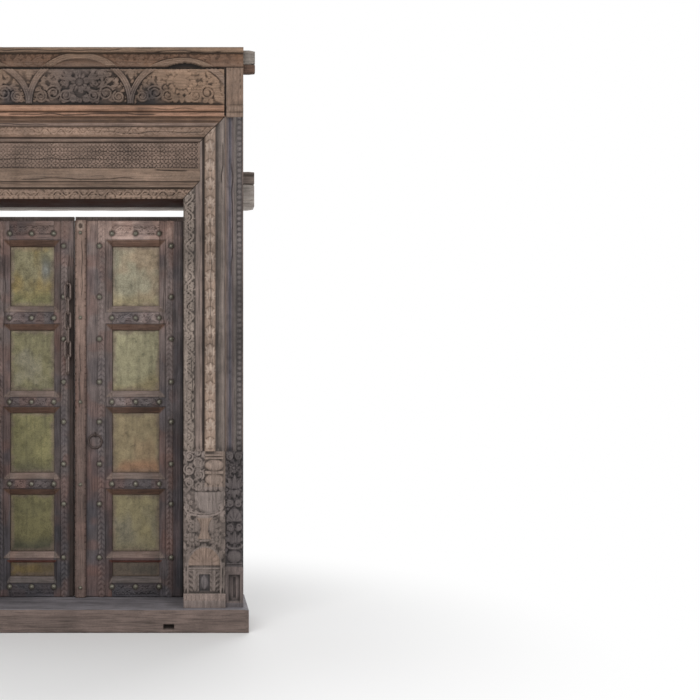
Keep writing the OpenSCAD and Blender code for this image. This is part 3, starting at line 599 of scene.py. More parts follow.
def wood(name, along):
    """Weathered timber with its grain along X or Z."""
    mat = bpy.data.materials.new(name)
    tree = Tree(mat)
    fine, middling, long = (tuple(s if axis == along else 1 for axis in "xyz") for s in (0.05, 0.35, 0.3))
    grain = tree.noise(fine, 190, 8, 0.65)
    pores = tree.noise(middling, 520, 3)
    blotch = tree.noise(EVEN, 14, 5)
    broad = tree.noise(long, 9, 4)
    layers = [(grain, (0.28, 0.422), (0.5, 1), (0.75, 1.34)), (pores, (0.30, 0.72), (0.55, 1.04)),
              (blotch, (0.3, 0.82), (0.7, 1.14)), (broad, (0.33, 0.78), (0.5, 1), (0.67, 1.2))]
    gloss = (blotch, (0.3, 0.66), (0.7, 0.86))
    tree.surface(None, layers, gloss, grain, 0.35, 0.0012, Specular_IOR_Level=0.28)
    return mat


def metal(name, colour, metallic, low, high, dark, size, grit=0.8):
    """Aged metal: patchy colour, dull and bright places, small pits."""
    mat = bpy.data.materials.new(name)
    tree = Tree(mat)
    patch = tree.noise(EVEN, size, 8, 0.62)
    fine = tree.noise(EVEN, size * 8, 4)
    layers = [(patch, (0.3, dark), (0.55, 1.0), (0.75, 1.12)), (fine, (0.3, grit), (0.6, 1.05))]
    gloss = (patch, (0.3, high), (0.7, low))
    tree.surface(colour, layers, gloss, fine, 0.3, 0.0008, Metallic=metallic)
    return mat


WOOD_X = wood("timber_along_x", "x")
WOOD_Z = wood("timber_along_z", "z")
BRASS = metal("aged_brass", None, 0.30, 0.42, 0.66, 0.72, 34, 0.68)
STUD = metal("stud_brass", srgb(114, 110, 98), 0.45, 0.38, 0.6, 0.5, 120)
IRON = metal("rusty_iron", srgb(104, 90, 84), 0.4, 0.42, 0.7, 0.6, 90)
RING = metal("dark_iron", srgb(70, 58, 54), 0.4, 0.45, 0.7, 0.6, 90)


# Jambs

ROLL_FROM, ROLL_TO = 513.0, 558.0
ROLL_X = (ROLL_FROM + ROLL_TO) / 2
ROLL_PITCH = 76.0
TENDRIL_X = 474


def jamb_board(x, z, seed):
    b = Board(x, z, seed)
    b.base = profile(x, [
        (OPEN_X, -14), (OPEN_X + 2, -12), (473, -12), (475, -10), (478, -6), (490, -6), (492, -8),
        (494, -6), (502, -6), (504, -10), (507, -13), (511, -13), (ROLL_FROM, -10), (ROLL_TO, -10),
        (560, -13), (568, -15), (580, -14), (590, -9), (592, -5), (597, -5), (POST_X, -7)])
    b.base = np.maximum(b.base, roll(x, ROLL_FROM, ROLL_TO, -10, 0))
    b.strips(x, (0, 476, 132, 119, 110), (476, 503, 117, 103, 96), (503, ROLL_FROM, 96, 83, 76),
             (ROLL_FROM, ROLL_TO, 138, 118, 104), (ROLL_TO, 591, 130, 118, 111), (591, FAR, 82, 72, 68))
    shaft = z > FOOT_Z
    foliage(b, OPEN_X + 4, TENDRIL_X, FOOT_Z, OPEN_Z + 50, 13, 4.5, seed + 60, 0.2)
    b.lift(6.5 * np.where(shaft, vine(b.wz - FOOT_Z, b.wx - 450, 46, 41), 0))
    b.level(x >= TENDRIL_X)
    inside = (np.abs(x - ROLL_X) < 20) & shaft
    for k in range(int((FRIEZE_Z - FOOT_Z) / ROLL_PITCH) + 1):
        zk = FOOT_Z + 30 + k * ROLL_PITCH
        b.stamp(ROLL_X, zk - 5, leaf(36, 14, 0.3), 4.6, 90)
        for dx, dz, length, width, high, turn in ((3, -3, 29, 11, 4.2, 54), (2, -6, 24, 10, 3.8, 16),
                                                  (3, 42, 22, 8, 2.2, 66)):
            b.pair(ROLL_X, dx, zk + dz, leaf(length, width, 0.3), high, turn)
        b.pair(ROLL_X, 13, zk - 10, scroll(6.0, 2.2, 1.2), 3.6, 90)
        around = ((x - ROLL_X) / 21) ** 2 + ((b.wz - zk - 6) / 25) ** 2
        b.cut = np.maximum(b.cut, np.where(inside & (b.relief < 0.6), 1.3 * bell(around - 1, 0.22), 0))
    b.tint(PALE, np.where(inside, 0.6 * np.clip(b.relief / 4, 0, 1), 0))
    foot(b, seed)
    b.cracks("z", seed, (1, 1180, 520, 539, 1.4, 2.4), (2, 1830, 180, 586, 1.6, 3.5),
             (3, 840, 300, 463, 1.4, 2.5))
    return b


FOOT_MID = 512.0
CUSHION_X = 552
BOWL_X = 532
RIM_X = 508
NICHE_Z = 268


def foot(b, seed):
    """The carved foot of a jamb: cushions, bowl, neck with leaves, shell niche and plinth."""
    x, z = b.x, b.z
    mid = FOOT_MID
    low = z < FOOT_Z
    b.level(low, -9.0)
    b.cut = np.where(low, 0, b.cut)
    b.zone(low, srgb(120, 108, 102))
    b.zone(low & within(z, 280, 470), srgb(108, 97, 91))
    foliage(b, OPEN_X, POST_X, PLINTH_Z + 6, FOOT_Z - 4, 19, 5.0, seed + 50)
    # Cushions at the right, with scrolls at the left
    right = low & (x > 513) & (z > 592)
    b.level(right)
    b.zone(right, srgb(136, 117, 104), 0.55)
    b.stamp(CUSHION_X, 680, dome(38, 25), 10)
    b.stamp(CUSHION_X, 621, dome(38, 26), 10)
    for zc in (FOOT_Z - 14, FOOT_Z - 27, 652, 647):
        b.stamp(CUSHION_X, zc, bar(74, 4), 7)
    for xc in (516, 537, 558, 579):
        b.stamp(xc, 590, dome(11, 20), 7.5)
    for xc, zc, r, turn, flip in ((451, 716, 22, 40, 1), (488, 694, 22, 200, -1), (449, 660, 23, 120, 1),
                                  (489, 640, 21, 300, 1), (448, 606, 20, 20, -1), (486, 594, 17, 200, 1),
                                  (486, 732, 14, 90, 1)):
        b.stamp(xc, zc, scroll(r, 4.2, 1.6), 8.5, turn, flip)
    for xc, zc, turn in ((470, 676, 60), (470, 646, 150), (464, 694, -40), (502, 664, 100), (466, 616, 30),
                         (436, 634, 80), (436, 684, 95), (502, 712, 70), (468, 580, 120), (440, 570, 60)):
        b.stamp(xc, zc, leaf(30, 13), 7, turn)
    # Bowl over a rim that curls up at both ends
    cup = np.where(z < 570, dome(64, 92)(x - BOWL_X, z - 568), 0)
    b.level(low & (cup > 0), relief=np.maximum(7.5 * cup ** 0.6, np.minimum(b.relief, 4)))
    b.zone(low & (cup > 0.15), srgb(117, 107, 102), 0.6)
    for dx in (-38, 0, 38):
        b.stamp(BOWL_X + dx, 552, arch(16, 26, 3, -1), 8.5)
    b.stamp(RIM_X, 498, arch(74, 28, 4.5, -1), 9.5)
    b.stamp(RIM_X, 500, arch(62, 20, 2.5, -1), 7.5)
    b.pair(RIM_X, 72, 506, scroll(13, 4, 1.3), 9, 60)
    # Leaves and rosettes beside the neck
    for turn, length in ((70, 52), (42, 54), (12, 50), (-18, 42)):
        b.pair(mid, 16, 420, leaf(length, 17), 7.5, turn)
    b.pair(mid, 70, 448, leaf(40, 18), 7, 100)
    b.pair(mid, 50, 374, flower(29, 10), 9)
    b.pair(mid, 76, 330, leaf(40, 18), 6.5, 70)
    b.pair(mid, 74, 292, leaf(38, 17), 6.5, 110)
    waist = 16 + 15 * ((z - 418) / 42) ** 2
    neck = low & within(z, 376, 464) & (np.abs(x - mid) < waist)
    reeds = round_top(x - mid, waist) * (0.55 + 0.45 * np.abs(np.cos((x - mid) / waist * 7.5)))
    b.level(neck, relief=10 * reeds)
    b.zone(neck, srgb(128, 108, 94), 0.55)
    b.stamp(mid, 464, dome(34, 7), 10)
    b.stamp(mid, 388, flower(15, 6), 11)
    b.stamp(mid, 370, dome(26, 6), 9)
    # Shell over a niche
    fan, ribs, out = shell(66, 74, 8.5)(x - mid, z - NICHE_Z)
    b.level(fan | ((np.abs(x - mid) < 68) & within(z, PLINTH_Z, NICHE_Z)))
    b.level(fan, relief=3 + 5 * ribs * out)
    b.zone(fan, srgb(140, 116, 100), 0.5)
    b.stamp(mid, NICHE_Z, arch(68, 77, 4.5), 9.5)
    b.pair(mid, 68, 210, bar(116, 4.5), 9, 90)
    b.pair(mid, 80, 206, bar(104, 2.5), 7, 90)
    for zc in (156, 178, 200, 222):
        b.pair(mid, 40, zc + 2, leaf(28, 14), 7, 90)
        for s in (-1, 1):
            b.pair(mid + s * 40, 5, zc, leaf(25, 10), 5.5, 44)
    hollow = (np.abs(x - mid) < 22) & within(z, 164, 232)
    b.level(hollow, -12)
    b.stamp(mid, 167, leaf(60, 32), 6, 90)
    b.zone(hollow, SLATE, 0.7)
    b.stamp(mid, 256, bar(126, 4), 7.5)
    b.stamp(mid, 246, bar(126, 2.2), 6)
    # Plinth
    strip_lo, strip_hi = SILL_Z + 31, PLINTH_Z - 8
    edge = profile(z, [(SILL_Z, 4.5), (SILL_Z + 29, 4.5), (strip_lo, 1.5), (strip_hi, 1.5),
                       (PLINTH_Z - 5, 4.5), (PLINTH_Z - 1, 4.5), (PLINTH_Z, -6)])
    points = 2.5 * chevron(x, z - SILL_Z - 40, 22, 13)
    b.level(z < PLINTH_Z, edge, np.where(within(z, strip_lo, strip_hi), points, 0))
    b.strips(z, (0, PLINTH_Z, 128, 113, 106), (0, SILL_Z + 30, 117, 105, 100))


def build_jamb(side, seed):
    shells = Shells()
    for x0, x1, z0, z1, drawn in ((OPEN_X, BAND_X, OPEN_Z, FLAT_Z, 120),
                                  (BAND_X, POST_X, SEAM_Z, FRIEZE_Z, 160)):
        # The upper rows draw together under the slanting mitre
        x, z = grid(x0, x1, SILL_Z, z1, *JAMB_CELL)
        start = z0 - drawn
        share = np.clip((z - start) / (z1 - start), 0, 1)
        z = np.where(z > start, start + share * (slant(x, x0, x1, z0, z1) - start), z)
        b = jamb_board(x, z, seed)
        shells.front(b, b.heights("z", seed, reach=0.5), BACK, seed)
    place(shells, side + "_jamb_carved", side + "_jamb", "frame", WOOD_Z)


# Posts

BEAD_X, BEAD_PITCH = 655.5, 22.0
DOME_Z = 448
PANEL_Z = 262


def post_board(x, z, seed):
    b = Board(x, z, seed)
    mid = (POST_X + FRAME_X) / 2
    b.base = profile(x, [
        (POST_X, -12), (601, -13), (604, -18), (630, -18), (633, -13), (636, -11.5), (642, -11.5), (644, -16),
        (667, -16), (668, -12.5), (FRAME_X - 1, -12.5), (FRAME_X, -14)])
    b.strips(x, (601, 634, 118, 106, 104), (634, 643, 90, 82, 78), (643, 668, 96, 89, 88),
             (667, FAR, 101, 88, 83))
    b.zone(within(x, 611, 624), srgb(84, 84, 96), 0.7)
    b.base = b.base - 2.0 * bell(x - 617, 1.5)
    # A string of beads
    beads = dome(9.5, 8.5)(x - BEAD_X, repeat(z - FOOT_Z, BEAD_PITCH) * BEAD_PITCH)
    b.relief = np.where(within(z, FOOT_Z, FRIEZE_Z), 5.5 * beads, 0)
    # Head beside the frieze
    head = z > FRIEZE_Z
    ring = profile(z, [
        (FRIEZE_Z, -12.5), (2113, -10.5), (2128, -10.5), (2130, -14), (2132, -10.5), (2156, -10.5),
        (2160, -13.5), (2164, -12.5), (2300, -12.5), (CORNICE_Z, -13)])
    b.level(head, np.maximum(ring, roll(z, 2131, 2158, -13, -7)))
    b.zone(head, srgb(124, 103, 89))
    for k in range(5):
        b.stamp(mid, 2178 + 26 * k, leaf(25, 18), 3.2, 90)
        b.pair(mid, 18, 2184 + 26 * k, leaf(22, 10), 2.6, 60)
    b.joint(head & (x < POST_X + 3.5))
    # Foot, from the top: curls, flower, sprays of leaves, volutes on a dome, curls, cup of leaves, pot
    low = z < FOOT_Z
    b.level(low, -12.5)
    b.zone(low, srgb(80, 73, 73))
    foliage(b, POST_X, FRAME_X, 264, FOOT_Z - 4, 15, 5.0, seed + 50)
    for dx, zc, r, w, high, turn in ((19, 716, 15, 4, 9, 90), (18, 520, 15, 4.2, 10, 30),
                                     (17, 426, 14, 4.2, 10, 200)):
        b.pair(mid, dx, zc, scroll(r, w, 1.5), high, turn)
    for zc, length, turns in ((580, 56, (28, 56)), (358, 50, (30, 58)), (576, 36, (142, 116))):
        for turn in turns:
            b.pair(mid, 3, zc, leaf(length - turn * 0.08, 16), 9, 90 - turn)
    for zc, length, turn in ((580, 60, 90), (358, 52, 90), (576, 38, -90)):
        b.stamp(mid, zc, leaf(length, 18), 10.5, turn)
    b.stamp(mid, 668, flower(23, 9), 10)
    fan, ribs, _ = shell(33, 54, 5.5)(x - mid, z - DOME_Z)
    b.level(fan, relief=5 + 7 * ribs * dome(34, 55)(x - mid, z - DOME_Z))
    b.stamp(mid, 350, arch(31, 15, 4.5, -1), 11)
    b.stamp(mid, 304, dome(31, 27), 14)
    for zc in (276, 266):
        b.stamp(mid, zc, bar(70, 4), 8)
    # Framed panel with a slot at the bottom
    panel = profile(z, [
        (SILL_Z, -9), (112, -9), (114, -12), (118, -10), (122, -17), (226, -17), (230, -10), (240, -9),
        (244, -7), (PANEL_Z, -7)])
    panel = np.where((np.abs(x - mid) > 24) & within(z, 114, 236), -10, panel)
    panel = np.where((np.abs(x - mid) < 7) & within(z, 132, 218), -21, panel)
    b.level(z < PANEL_Z, panel)
    b.zone(z < PANEL_Z, srgb(106, 94, 91))
    b.zone(z < 113, SLATE, 0.7)
    b.cracks("z", seed, (4, 1450, 480, 626, 1.5, 3))
    return b


def build_post(side, seed):
    shells = Shells()
    b = post_board(*grid(POST_X, FRAME_X, SILL_Z, CORNICE_Z, *JAMB_CELL), seed)
    shells.front(b, b.heights("z", seed, 0.3, reach=0.6), TIE_FRONT, seed)
    shells.block((POST_X, TIE_FRONT, SILL_Z), (FRAME_X, BACK, UPPER_Z), UMBER)
    place(shells, side + "_post_carved", side + "_post", "frame", WOOD_Z)


# Head of the frame

def mitred(rows, reach, count, seed):
    """A board whose rows have their own reach to both sides, and the dark seam at its slanting ends."""
    x = np.linspace(-1, 1, count)[None, :] * reach[:, None]
    b = Board(x, np.repeat(rows[:, None], count, 1), seed)
    return b, 3.5 * ramp(5, 2, reach[:, None] - np.abs(x))


def build_lintel(seed):
    rows = np.linspace(OPEN_Z, SEAM_Z, int((SEAM_Z - OPEN_Z) / LINTEL_CELL[1]) + 1)
    reach = np.where(rows < FLAT_Z, slant(rows, OPEN_Z, FLAT_Z, OPEN_X, BAND_X), BAND_X)
    b, seam = mitred(rows, reach, int(2 * BAND_X / LINTEL_CELL[0]), seed)
    x, z = b.x, b.z
    b.base = profile(z, [
        (OPEN_Z, -14), (1775, -11.5), (1813, -11.5), (1815, -15), (1819, -15), (1821, -6), (1825, -5.5),
        (1827, -9), (1834, -11), (1841, -9), (1843, -15), (1845, -14), (1847, -8), (1870, -6.5), (1892, -8),
        (1894, -6), (1897, -6), (1899, -12), (2001, -12), (2003, -13), (SEAM_Z, -15)])
    b.strips(z, (0, 1814, 126, 105, 91), (1813, 1820, 98, 78, 65), (1820, 1844, 108, 89, 76),
             (1845, 1898, 120, 100, 86), (1898, FAR, 118, 99, 88))
    foliage(b, -OPEN_X, OPEN_X, 1777, 1811, 13, 5.0, seed + 60, 0.25)
    b.lift(7 * vine(b.wx, b.wz - 1794, 38, 36))
    b.level(~within(z, 1775, 1813))
    # Drops along the lower edge, a faint row of leaves, and a net of leaves in a border
    b.lift(np.where(z < 1784, 5 * np.clip(1 - (repeat(x, 21.0) / 0.42) ** 2, 0, 1), 0))
    faint = 1.6 * chevron(x, z - 1871, 34, 18) * ramp(0.45, 0.7, noise(x, z, 160, 60, seed + 3))
    b.lift(np.where(within(z, 1848, 1892), faint, 0))
    border = BAND_X - 9
    net = 7.0 * lattice(b.wx, b.wz - 1901, 33, 33.6)
    b.lift(np.where(within(z, 1901, 2002) & (np.abs(x) < border), net, 0))
    b.lift(np.where((np.abs(x) > border) & (z > 1898), 4.0, 0))
    b.cut = np.where(z < FLAT_Z, seam, 0)
    b.cracks("x", seed, (1, 300, 150, 1888, 1.8, 4), (2, -420, 500, 1938, 1.4, 3),
             (5, -250, 480, 1856, 1.6, 3))
    shells = Shells()
    # The sides of the lintel take the painted shade colour of its underside
    shells.front(b, b.heights("x", seed, 0.2, reach=0.35), BACK, seed, side=SOFFIT_SHADE, rear=UMBER)
    place(shells, "lintel_carved", "lintel", "frame", WOOD_X)


def build_head(seed):
    rows = np.linspace(SEAM_Z, FRIEZE_Z, int((FRIEZE_Z - SEAM_Z) / HEAD_CELL[1]) + 1)
    reach = slant(rows, SEAM_Z, FRIEZE_Z, BAND_X, POST_X)
    b, seam = mitred(rows, reach, int(2 * POST_X / HEAD_CELL[0]), seed)
    z = b.z
    b.base = profile(z, [
        (SEAM_Z, -16), (2007, -12), (2010, -6), (2019, -6), (2021, -12), (2024, -14), (2027, -9), (2070, -9),
        (2072, -3.5), (2083, -3.5), (2085, -9), (2094, -14), (2103, -13), (2105, -16), (FRIEZE_Z, -16)])
    b.base = np.maximum(b.base, roll(z, 2026, 2070, -9, -2))
    b.strips(z, (0, 2026, 98, 81, 71), (2026, 2070, 128, 105, 90), (2070, 2084, 113, 94, 84),
             (2084, FAR, 104, 81, 66))
    foliage(b, -POST_X, POST_X, 2032, 2064, 12, 4.5, seed + 60, 0.25)
    b.lift(6 * vine(b.wx, b.wz - 2048, 36, 30))
    b.level(~within(z, 2030, 2066))
    b.cut = seam
    b.cracks("x", seed, (1, -500, 380, 2077, 1.5, 3), (2, 80, 420, 2044, 1.4, 2.5))
    shells = Shells()
    shells.front(b, b.heights("x", seed, 0.4, reach=0.5), BACK, seed)
    place(shells, "architrave_head_carved", "architrave_head", "frame", WOOD_X)


# Middle and rise of each of the three arches, whose crowns rise into the cornice
BAY = 418.0
ARCH_Z = 2168.0
ARCH_REACH = 208
ARCHES = ((-BAY, 172), (0, 194), (BAY, 172))


def arches(b, high):
    """Carves the arches as broad bands in a clear margin, and says where they are."""
    far = [from_ellipse(b.wx - mid, b.wz - ARCH_Z, ARCH_REACH, rise) for mid, rise in ARCHES]
    near = np.where(b.z > ARCH_Z - 4, np.minimum.reduce(far), FAR)
    b.level(near < 16)
    b.lift(high * ramp(12.5, 10, near) * (1 - 0.6 * bell(near - 4.5, 2.2)))
    return near < 12.5


def build_frieze(seed):
    half = FRIEZE_X
    x, z = grid(-half, half, FRIEZE_Z, CORNICE_Z, *FRIEZE_CELL)
    b = Board(x, z, seed)
    b.base = profile(z, [
        (FRIEZE_Z, -9), (2113, -6), (2127, -5), (2129, -15), (2131, -12), (2158, -10), (2161, -15),
        (2165, -13), (CORNICE_Z - 4, -13), (CORNICE_Z - 2, -15), (CORNICE_Z, -15)])
    b.base = np.maximum(b.base, roll(z, 2131, 2159, -12, 0))
    b.strips(z, (0, 2129, 134, 102, 83), (2130, 2160, 137, 103, 82), (2161, FAR, 130, 106, 88))
    foliage(b, -half, half, 2166, CORNICE_Z - 6, 22, 5.5, seed + 50)
    for c, _ in ARCHES:
        for dx, zc, r, turn in ((56, 2198, 27, 200), (108, 2208, 31, 20), (160, 2194, 24, 120),
                                (28, 2184, 15, 60)):
            b.pair(c, dx, zc, scroll(r, 4.4, 1.7), 8.5, turn)
        for dx, zc, turn, length in ((82, 2226, 60, 40), (128, 2230, 30, 38), (60, 2240, 110, 36),
                                     (146, 2246, 70, 34), (92, 2252, 90, 44), (176, 2214, 50, 30),
                                     (118, 2268, 115, 36), (30, 2212, 70, 30), (70, 2262, 55, 46),
                                     (108, 2246, 45, 40)):
            b.pair(c, dx, zc, leaf(length, 15), 7, turn)
        b.pair(c, 64, 2290, leaf(44, 16), 6.5, 20)
        if c:
            b.stamp(c, 2254, flower(58, 16, 0.5), 8.5)
            b.stamp(c, 2200, leaf(34, 24), 7, -90)
        else:
            b.stamp(c, 2252, flower(38, 12, 0.36), 8.5)
            for turn in (50, 28, 6):
                b.pair(c, 30, 2262, leaf(56, 15), 7, turn)
            b.pair(c, 30, 2222, leaf(46, 18), 7, -28)
            b.pair(c, 92, 2286, scroll(16, 4, 1.4), 7, 120)
    for dx, zc, length, width, turn in ((BAY / 2, 2262, 44, 26, 90), (half - 22, 2186, 76, 30, 112),
                                        (half - 26, 2262, 50, 26, 140)):
        b.pair(0, dx, zc, leaf(length, width), 7, turn, 60)
    band = arches(b, 10)
    field = z > 2161
    b.level(~field | (z >= CORNICE_Z - 6))
    dull = 0.76 * bell(x, 215) + 0.75 * bell(np.abs(x) - 295, 45) * ramp(2275, 2205, z)
    b.zone(field, srgb(58, 55, 58), np.clip(dull, 0, 0.85))
    b.zone(band & field, blend(srgb(84, 74, 71), srgb(116, 96, 83), ramp(2190, 2290, z)), 0.8)
    b.dim(1 + 0.22 * ramp(66, 40, np.hypot(np.abs(x) - BAY, z - 2254)))
    # Open joints under the cornice and beside the posts
    b.joint((z > CORNICE_Z - 5) | ((np.abs(x) > half - 3) & (z > FRIEZE_Z + 3)))
    b.cracks("x", seed, (1, -300, 620, 2120, 1.8, 3.5), (2, 220, 260, 2141, 1.5, 2.5))
    shells = Shells()
    shells.front(b, b.heights("x", seed, 0.3, reach=0.6), TIE_FRONT, seed, 0.9)
    shells.block((-half, TIE_FRONT, FRIEZE_Z), (half, BACK, UPPER_Z), UMBER)
    place(shells, "frieze_carved", "frieze_beam", "frame", WOOD_X)


def build_cornice(seed):
    x, z = grid(-FRAME_X, FRAME_X, CORNICE_Z, TOP_Z, *HEAD_CELL)
    b = Board(x, z, seed)
    b.base = profile(z, [
        (CORNICE_Z, -15), (2315, -12), (2317, -9), (2366, -9), (2368, -13), (2372, -13), (2374, -3),
        (2379, -1), (2392, -1), (TOP_Z, -4)])
    b.strips(z, (0, 2370, 99, 74, 58), (2370, FAR, 112, 89, 71))
    foliage(b, -FRAME_X, FRAME_X, 2318, 2366, 20, 3.5, seed + 50)
    step = 42.0
    for k in range(-16, 17):
        if k % 2:
            b.stamp(k * step, 2318, leaf(44, 24), 4.5, 90)
        else:
            b.stamp(k * step - 4, 2338, scroll(17, 4, 1.4), 4.5, 30)
        b.pair(k * step, 0, 2320, leaf(34, 12), 4, 48)
    for mid, rise in ARCHES:
        inside = ((x - mid) / ARCH_REACH) ** 2 + ((z - ARCH_Z) / rise) ** 2 < 1
        b.level(inside, relief=b.relief * 0.55)
        b.zone(inside & (z < 2366), UMBER * 0.7, 0.5)
    b.zone(arches(b, 8) & (z < 2368), srgb(116, 94, 78), 0.8)
    b.level(~within(z, 2318, 2368))
    # The lower edge is worn away under the right arch
    worn = z < CORNICE_Z + 4 + 16 * np.clip(1 - ((x - BAY - 14) / 72) ** 2, 0, 1)
    b.level(worn, -20)
    b.zone(worn, DARK * 0.55, 0.9)
    b.cracks("x", seed, (1, -380, 560, 2384, 1.6, 3), (2, 260, 330, 2376, 1.6, 3))
    h = b.heights("x", seed, 0.5)
    h[-1] -= 1.5
    shells = Shells()
    shells.front(b, h, TIE_FRONT, seed)
    place(shells, "cornice_carved", "cornice", "frame", WOOD_X)


# Leaves

BEVEL_D = 20.0
TALL_BEVEL, LOW_BEVEL = 26.0, 12.0
PANELS = 5
STUD_INSET = 38.5
RAILS = ("top_rail", "rail_2", "rail_3", "rail_4", "thin_rail", "bottom_rail")
# Warm tint of the painted light at the heads of the leaves
WARM = np.array([1.0, 0.87, 0.75])
# How much lighter or darker each member of a leaf is than the wood round it
MEMBER_TONE = {"hanging_stile": 1.16, "meeting_stile": 0.99, "top_rail": 1.13, "rail_2": 1.85, "rail_3": 1.7,
               "rail_4": 1.28, "thin_rail": 1.45, "bottom_rail": 0.98}
# Places and depths of the reeds on a stile, counted from the panels
REEDS = {"hanging_stile": ((28.5, 1.6), (60, 2.4), (72, 1.8), (84, 1.8), (96, 1.8)),
         "meeting_stile": ((28.5, 1.8), (63, 1.8), (72, 1.8))}


def own(side, node):
    """A node's box with X counted from the middle of the doorway towards its own pivot."""
    lo, hi = mm_box(side + "_" + node)
    if side == "left":
        lo[X], hi[X] = -hi[X], -lo[X]
    return lo, hi


def leaf_panels(side):
    """The openings of a leaf's panels: from and to in X, from and to in Z."""
    boxes = [own(side, "panel_%d" % (i + 1)) for i in range(PANELS)]
    return [(lo[X] - 0.3, hi[X] + 0.3, lo[Z] - 0.3, hi[Z] + 0.3) for lo, hi in boxes]


def stud_places(side):
    """Middles of the studs on a leaf, in X from the middle of the doorway and Z."""
    panels = leaf_panels(side)
    x0, x1 = panels[0][:2]
    start = span("meeting_bead", X)[1] if side == "right" else own(side, "meeting_stile")[0][X]
    rows = [panels[0][3], (panels[3][2] + panels[4][3]) / 2]
    for upper, lower in zip(panels[:3], panels[1:4]):
        rows += [upper[2] + STUD_INSET, lower[3] - STUD_INSET]
    spots = [(x, z) for x in ((start + x0) / 2, (x1 + OPEN_X) / 2) for z in rows]
    for name in RAILS:
        lo, hi = own(side, name)
        if name != "thin_rail":
            spots += [(x, (lo[Z] + hi[Z]) / 2) for x in (x0, (x0 + x1) / 2, x1)]
    return spots


def carve_rail(b, panels, flat, seed):
    """Curls and leaves between the bevels of a rail."""
    x0, x1 = panels[0][:2]
    low, high = b.z.min(), b.z.max()
    lift = TALL_BEVEL if any(abs(p[3] - low) < 1 for p in panels) else 0
    drop = TALL_BEVEL if any(abs(p[2] - high) < 1 for p in panels) else 0
    mid, width = (low + lift + high - drop) / 2, min(42.0, high - drop - low - lift - 6)
    foliage(b, x0 - 8, x1 + 8, mid - width / 2, mid + width / 2, 14, 4.0, seed + 50)
    step = (x1 - x0) / 8
    for k in range(9):
        cx, flip = x0 + k * step, 1 if k % 2 else -1
        b.stamp(cx, mid + 0.06 * width * flip, scroll(0.34 * width, 2.6, 1.4), 5.0, 90 * flip, flip)
        for turn in (80, 125):
            b.stamp(cx + 0.5 * step, mid - 0.4 * width * flip, leaf(0.62 * width, 9), 4.5, turn * flip)
    strip = flat & (np.abs(b.z - mid) < width / 2)
    b.level(~strip)
    b.zone(strip, b.tone * 0.85)


def leaf_board(side, x, z, node, seed):
    """A stile or a rail of a leaf: bevels round the panels, carved strips and reeds."""
    b = Board(x, z, seed)
    panels = leaf_panels(side)
    x0, x1 = panels[0][:2]
    b.tone = blend(LEAF_LOW, LEAF_TOP, ramp(100, 1716, z)) * MEMBER_TONE[node]
    # The heads of the leaves are lightened towards the top, the right leaf most: painted light that makes up
    # for the shade under the lintel
    plain, painted_light = (1.0, 1.5) if side == "right" else (0.88, 0.45)
    b.tone = b.tone * (plain + painted_light * ramp(1560, 1690, z)[..., None] * WARM)
    if node == "thin_rail":
        b.tint(RED * 1.3, 0.8)
    for colour, share, size in ((RED * 0.9, 0.35, 130), (LEAF_BLUE, 0.5, 160), (RED, 0.3, 38),
                                (LEAF_BLUE, 0.35, 46)):
        b.tint(colour, share * ramp(0.5, 0.75, noise(x, z, size, 1.4 * size, seed + size)))
    if node == "bottom_rail":
        b.tint(LEAF_BLUE * 1.15, 0.6)
    flat = np.ones(x.shape, bool)
    for i, (a, c, low, high) in enumerate(panels):
        last = i == PANELS - 1
        w = LOW_BEVEL if last else TALL_BEVEL
        out = np.stack([(z - high) / w, (low - z) / TALL_BEVEL, (a - x) / w, (x - c) / w])
        near = out.max(0)
        over, under = (np.exp(-9 * np.clip(near - out[k], 0, 1)) for k in (0, 1))
        b.base = np.minimum(b.base, -BEVEL_D * np.clip(1 - near, 0, 1))
        slope = near < 1
        flat &= ~slope
        # Painted light and shade on the bevels: the bevel above a panel, which faces down, is darker, and the
        # one below it, which faces up, is paler
        b.zone(slope, srgb(118, 72, 60) if last else srgb(84, 60, 46), 0.85 * over)
        b.zone(slope, srgb(112, 102, 96) if last else srgb(128, 112, 102), 0.6 * under)
        b.cut = np.maximum(b.cut, 1.5 * bell((near - 1.05) * w, 1.8))
    if node in REEDS:
        hanging = node == "hanging_stile"
        mid, out = (x1 + 44, x - x1) if hanging else (x0 - 46, x0 - x)
        b.relief = np.where(flat & (np.abs(x - mid) < 15), 4.4 * chevron(b.wz, b.wx - mid, 28, 22), 0)
        for at, deep in REEDS[node]:
            b.base = b.base - deep * bell(out - at, 1.6)
        if hanging:
            # Painted shade beside the jamb: the outer strip of the hanging stile is darker blue-grey, and its
            # last few millimetres darker still
            b.zone(x > x1 + 60, LEAF_BLUE * 0.75, 0.55)
            b.dim(1 - 0.5 * ramp(LEAF_EDGE - 16, LEAF_EDGE - 5, x))
        elif side == "left":
            shadow = ramp(x0 - 62, x0 - 70, x) * ramp(1700, 1420, z)
            b.base = b.base - 5 * shadow
            b.tint(DARK * 0.6, 0.85 * shadow)
    elif node != "thin_rail":
        carve_rail(b, panels, flat, seed)
    for sx, sz in stud_places(side):
        b.tint(DARK * 0.5, 0.75 * ramp(20, 10, np.hypot(x - sx, z - sz)))
    return b


